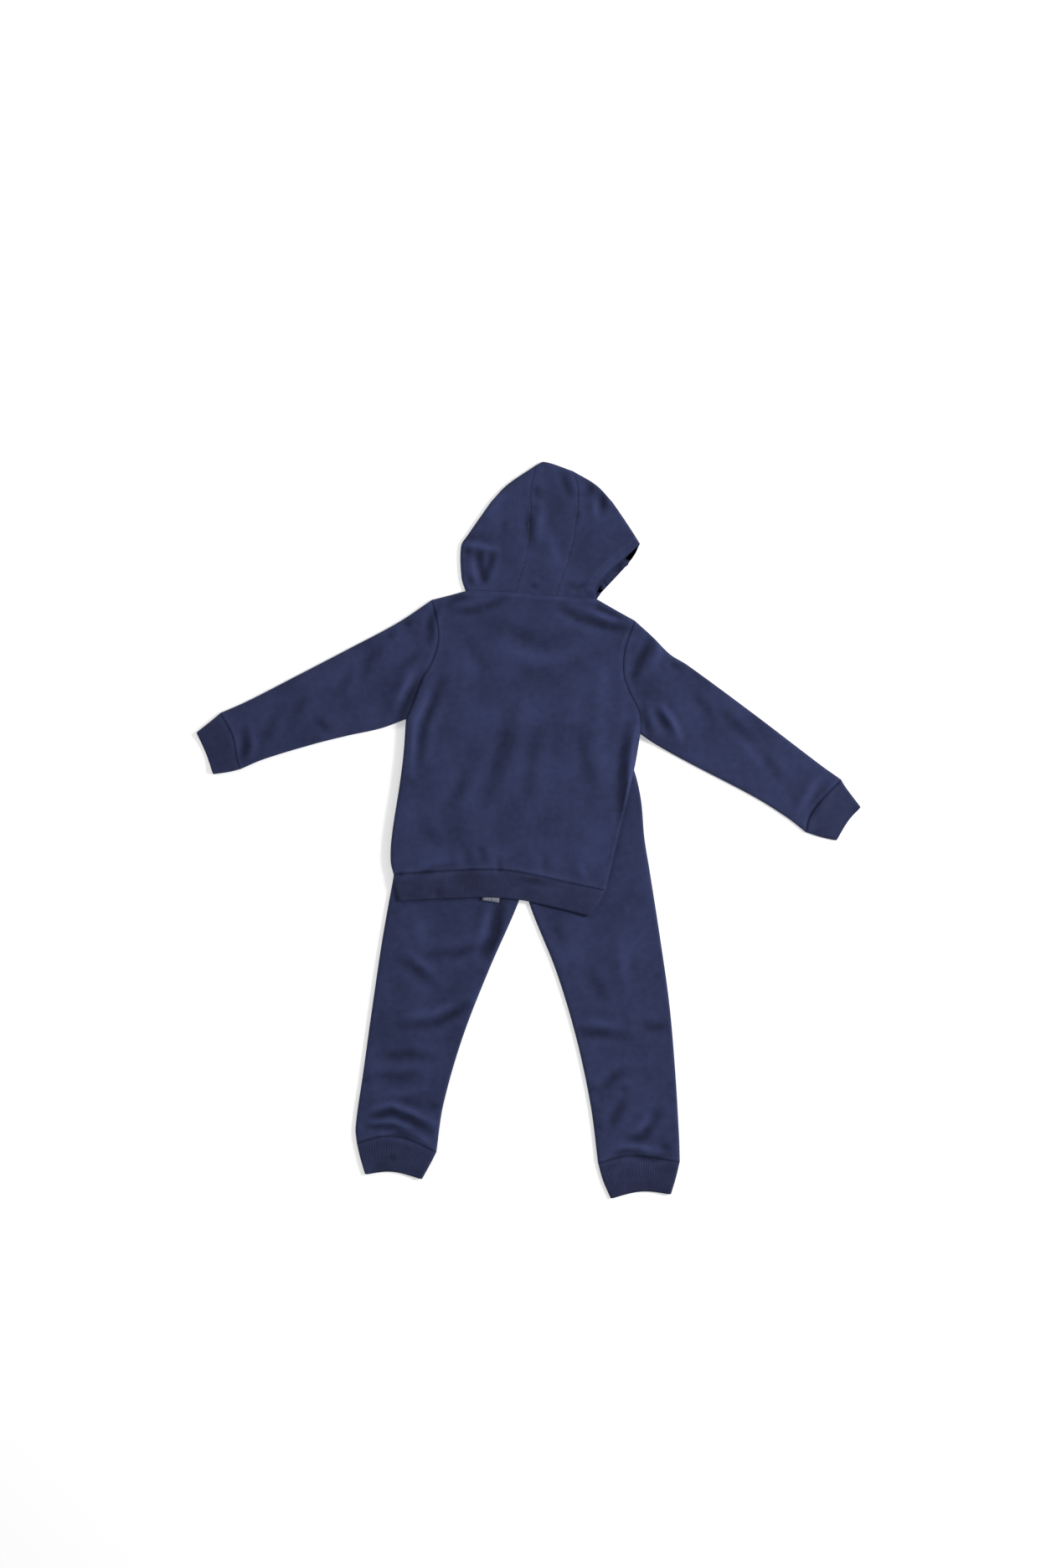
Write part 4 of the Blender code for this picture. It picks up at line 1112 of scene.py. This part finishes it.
def make_hood(g):
    """Three hood panels that turn under at the outline and end at the face opening."""
    seam_left, seam_right = (g.lines[name].sample(HOOD_ROWS) for name in both("hood_seam"))
    under_left, under_right = (g.lines[name].sample(UNDER_ROWS) for name in both("hood_under"))

    cloth = Cloth("hood_left")
    side, crown = g.lines["hood_left"].sample(HOOD_ROWS), g.lines["crown_left"].sample(HOOD_COLUMNS)
    plan = patch(side, seam_left, g.lines["neck_left"].sample(HOOD_COLUMNS), crown)
    over = cloth.add(g, plan, 1, marked(plan, left=True, top=True), (LOW_SEAM, RIGHT_SEAM))
    border = chain(side, crown)
    face = g.lines["face_left"].even(len(border) - 1)
    plan = patch(border, face, g.lines["front_neck_left"].sample(UNDER_ROWS), under_left[::-1])
    below = cloth.add(g, plan, -1, marked(plan, left=True), (LOW_SEAM, HIGH_SEAM))
    below[:, 0] = np.concatenate([over[:, 0], over[-1, 1:]])
    cloth.face(over)
    cloth.face(below)
    cloth.build(FINISHES["fleece"])

    cloth = Cloth("hood_middle")
    lines = (g.lines[name].sample(MIDDLE_COLUMNS) for name in ("crown_middle", "neck_middle", "face_middle"))
    crown, neck, face = lines
    plan = patch(seam_left, seam_right, neck, crown)
    over = cloth.add(g, plan, 1, marked(plan, top=True), (LOW_SEAM, LEFT_SEAM, RIGHT_SEAM))
    plan = patch(under_left, under_right, face, crown)
    below = cloth.add(g, plan, -1, marked(plan, top=True), (LEFT_SEAM, RIGHT_SEAM))
    below[-1] = over[-1]
    cloth.face(over)
    cloth.face(below)
    cloth.build(FINISHES["fleece"])

    cloth = Cloth("hood_right")
    crown = g.lines["crown_right"].sample(HOOD_COLUMNS)
    edge, corner = g.border(HOOD_ROWS, "hood_opening", "hood_right")
    plan = patch(seam_right, edge, g.lines["neck_right"].sample(HOOD_COLUMNS), crown)
    over = cloth.add(g, plan, 1, marked(plan, right=slice(corner, None), top=True), (LOW_SEAM, LEFT_SEAM))
    mouth = g.lines["hood_mouth"].sample(corner)
    border = chain(mouth, edge[corner:], crown[::-1])
    corner_under = len(mouth) - 1
    face = g.lines["face_right"].even(len(border) - 1)
    plan = patch(face, border, g.lines["front_neck_right"].sample(UNDER_ROWS), under_right)
    marks = marked(plan, right=slice(corner_under, None))
    below = cloth.add(g, plan, -1, marks, (LOW_SEAM, HIGH_SEAM))
    below[corner_under:, -1] = np.concatenate([over[corner:, -1], over[-1, -2::-1]])
    cloth.face(over)
    cloth.face(below)
    cloth.build(FINISHES["fleece"])


def socket(tree, name, kind, value=None):
    """A named input of a node group."""
    made = tree.interface.new_socket(name=name, in_out="INPUT", socket_type="NodeSocket" + kind)
    if value is not None:
        made.default_value = value
    return made.identifier


def row_tree(name, shape_nodes):
    """A node group that sets one small shape at even steps along every curve."""
    tree = bpy.data.node_groups.new(name, "GeometryNodeTree")
    inputs = {"Geometry": socket(tree, "Geometry", "Geometry")}
    for label in ("Pitch", "Length", "Width", "Height"):
        inputs[label] = socket(tree, label, "Float", 0.001)
    inputs["Finish"] = socket(tree, "Finish", "Material")
    tree.interface.new_socket(name="Geometry", in_out="OUTPUT", socket_type="NodeSocketGeometry")
    given = tree.nodes.new("NodeGroupInput")
    shown = tree.nodes.new("NodeGroupOutput")

    def node(kind, settings=None, **links):
        made = tree.nodes.new(kind)
        for key, value in (settings or {}).items():
            setattr(made, key, value)
        for key, source in links.items():
            tree.links.new(source, made.inputs[key.replace("_", " ")])
        return made

    steps = node(
        "GeometryNodeResampleCurve", {"mode": "LENGTH"},
        Curve=given.outputs["Geometry"], Length=given.outputs["Pitch"],
    )
    run = node("GeometryNodeInputTangent")
    turn = node("FunctionNodeAlignEulerToVector", {"axis": "X"}, Vector=run.outputs["Tangent"])
    size = node(
        "ShaderNodeCombineXYZ",
        X=given.outputs["Length"], Y=given.outputs["Width"], Z=given.outputs["Height"],
    )
    shape = shape_nodes(tree)
    placed = node(
        "GeometryNodeInstanceOnPoints", Points=steps.outputs["Curve"], Instance=shape,
        Rotation=turn.outputs["Rotation"], Scale=size.outputs["Vector"],
    )
    real = node("GeometryNodeRealizeInstances", Geometry=placed.outputs["Instances"])
    smooth = node("GeometryNodeSetShadeSmooth", Geometry=real.outputs["Geometry"])
    named = node(
        "GeometryNodeSetMaterial", Geometry=smooth.outputs["Geometry"], Material=given.outputs["Finish"],
    )
    tree.links.new(named.outputs["Geometry"], shown.inputs["Geometry"])
    return tree, inputs


def stitch_shape(tree):
    """A thread's hump, one unit long, wide and high."""
    ball = tree.nodes.new("GeometryNodeMeshUVSphere")
    ball.inputs["Segments"].default_value = 6
    ball.inputs["Rings"].default_value = 4
    ball.inputs["Radius"].default_value = 0.5
    return ball.outputs["Mesh"]


def tooth_shape(tree):
    """A zip tooth with a rounded head, one unit long, wide and high."""
    peg = tree.nodes.new("GeometryNodeMeshCylinder")
    peg.inputs["Vertices"].default_value = 8
    peg.inputs["Radius"].default_value = 0.5
    peg.inputs["Depth"].default_value = 1.0
    return peg.outputs["Mesh"]


def set_along(name, rows, shape, pitch, size, finish):
    """One piece of small shapes along rows of points, which are plan millimetres and a height."""
    curves = bpy.data.curves.new(name, "CURVE")
    curves.dimensions = "3D"
    for row in rows:
        points = (row - (*CENTRE, 0)) * MM
        spline = curves.splines.new("POLY")
        spline.points.add(len(points) - 1)
        spline.points.foreach_set("co", np.hstack([points, np.ones((len(points), 1))]).reshape(-1))
    path = bpy.data.objects.new(name + "_path", curves)
    bpy.context.scene.collection.objects.link(path)
    tree, inputs = row_tree(name + "_rows", shape)
    made = path.modifiers.new("rows", "NODES")
    made.node_group = tree
    for label, value in zip(("Pitch", "Length", "Width", "Height"), (pitch, *size)):
        made[inputs[label]] = value * MM
    made[inputs["Finish"]] = finish
    depsgraph = bpy.context.evaluated_depsgraph_get()
    mesh = bpy.data.meshes.new_from_object(path.evaluated_get(depsgraph))
    bpy.data.objects.remove(path)
    finished(name, mesh, finish)


def stitch_rows(g):
    """Rows of points for the topstitching of one garment, a little above the cloth."""
    rows = []
    for line, _, offsets, _ in g.seams:
        for offset in offsets:
            fine = Line(line[::4] if len(line) > LONG_LINE else line).even(round(len(line) * 1.5))
            plan = shifted(fine, offset)[1:-1]
            rows.append(np.hstack([plan, g.upper(plan)[:, None] + STITCH_LIFT]))
    return rows


def make_zip(g):
    """The two tapes inside the fronts, with their teeth."""
    line = chain(g.lines["rib_zip"].even(CUFF_ROWS), g.lines["zip"].even(ZIP_ROWS))
    foot = line[0] + unit(line[0] - line[1]) * TAPE_END
    line = np.vstack([foot, line])
    width = (TAPE_EDGES[-1] - TAPE_EDGES[0]) * MM
    length = np.linalg.norm(np.diff(line, axis=0), axis=1).sum() * MM
    rows = []
    for word, sign in (("left", -1), ("right", 1)):
        plan = np.stack([shifted(line, sign * edge) for edge in TAPE_EDGES], axis=1)
        z = g.lower(plan) + CLOTH + TAPE_LIFT + TAPE_BEAD
        cloth = Cloth("zip_tape_" + word, TAPE_THICKNESS)
        cloth.outer = np.concatenate([plan, z[..., None]], axis=-1).reshape(-1, 3)
        cloth.inner = cloth.outer + (0, 0, TAPE_THICKNESS)
        cloth.wale = np.ones(len(cloth.outer))
        # The tape gets the middle share, so no painted shade or light
        cloth.tone = np.full(len(cloth.outer), 0.5)
        cloth.face(np.arange(len(cloth.outer)).reshape(plan.shape[:2]))
        cloth.cuts.append((width, length, width * length))
        cloth.build(FINISHES["tape"])
        row = shifted(line, sign * TOOTH_PLACE)[3:-3]
        rows.append(np.hstack([row, (g.lower(row) + CLOTH + TAPE_LIFT - TOOTH_DROP)[:, None]]))
    set_along("zip_teeth", rows, tooth_shape, TOOTH_PITCH, TOOTH_SIZE, FINISHES["metal"])


def make_floor():
    """A wide pale floor just below the cloth."""
    mesh = bpy.data.meshes.new("floor")
    corners = [(x * FLOOR_HALF, y * FLOOR_HALF, FLOOR_DROP) for x, y in ((-1, -1), (1, -1), (1, 1), (-1, 1))]
    mesh.from_pydata(corners, [], [(0, 1, 2, 3)])
    material, tree, shader = start("pale_floor")
    fill(
        tree, shader, Base_Color=(FLOOR_SHADE, FLOOR_SHADE, FLOOR_SHADE, 1), Roughness=FLOOR_ROUGHNESS,
        Emission_Color=(1, 1, 1, 1), Emission_Strength=FLOOR_GLOW,
    )
    mesh.materials.append(material)
    floor = bpy.data.objects.new("floor", mesh)
    bpy.context.scene.collection.objects.link(floor)
    return floor


def make_light():
    """Even white surroundings with a soft lamp on the right of the page and a weak one on its left."""
    world = bpy.data.worlds.new("studio")
    world.use_nodes = True
    fill(world.node_tree, world.node_tree.nodes["Background"], Color=(1, 1, 1, 1), Strength=SURROUND)
    bpy.context.scene.world = world
    bpy.context.scene.view_settings.view_transform = "Standard"
    for name, place, power, size in LAMPS:
        lamp = bpy.data.lights.new(name, "AREA")
        lamp.shape = "DISK"
        lamp.size = size
        lamp.energy = power
        shown = bpy.data.objects.new(name, lamp)
        shown.location = place
        shown.rotation_euler = Vector(place).to_track_quat("Z", "Y").to_euler()
        bpy.context.scene.collection.objects.link(shown)


def make_camera():
    """A camera straight above the middle of the page."""
    camera = bpy.data.cameras.new("camera")
    camera.lens = SENSOR * CAMERA_HEIGHT / FRAME_LENGTH
    camera.sensor_width = SENSOR
    camera.clip_end = CAMERA_REACH
    shown = bpy.data.objects.new("camera", camera)
    shown.location = (*CAMERA_PLACE, CAMERA_HEIGHT)
    bpy.context.scene.collection.objects.link(shown)
    bpy.context.scene.camera = shown


def main():
    """Dress the whole tracksuit."""
    joggers = Garment(
        JOGGERS, both("cuff_outer", "outer", "hip", "band", "cuff_inner", "inseam"), both("cuff_end"),
        JOGGERS_FOLDS, JOGGERS_SEAMS, JOGGERS_CREASES, seed=5, ring=(
            "cuff_outer_left", "outer_left", "hip_left", "band_left", "band_end_left", "band_end_right",
            "-band_right", "-hip_right", "-outer_right", "-cuff_outer_right", "-cuff_end_right",
            "cuff_inner_right", "inseam_right", "-inseam_left", "-cuff_inner_left", "-cuff_end_left",
        ),
    )
    edges = both(
        "rib", "side", "sleeve_low", "wrist_low", "wrist_top", "sleeve_top", "shoulder", "hood", "crown",
    )
    jacket = Garment(
        JACKET, edges + ["crown_middle"], ["rib_end"] + both("wrist_end"),
        JACKET_FOLDS, JACKET_SEAMS, JACKET_CREASES, seed=11, under=joggers,
    )
    make_joggers(joggers)
    make_body(jacket)
    make_hem_rib(jacket)
    make_zip(jacket)
    make_sleeves(jacket)
    make_hood(jacket)
    rows = stitch_rows(joggers) + stitch_rows(jacket)
    set_along("topstitching", rows, stitch_shape, STITCH_PITCH, STITCH_SIZE, FINISHES["thread"])
    for name in ("zip_slider", "zip_box"):
        bpy.data.objects[name].data.materials.clear()
        bpy.data.objects[name].data.materials.append(FINISHES["metal"])


FLOOR = make_floor()
FINISHES = make_finishes()
make_light()
make_camera()
main()
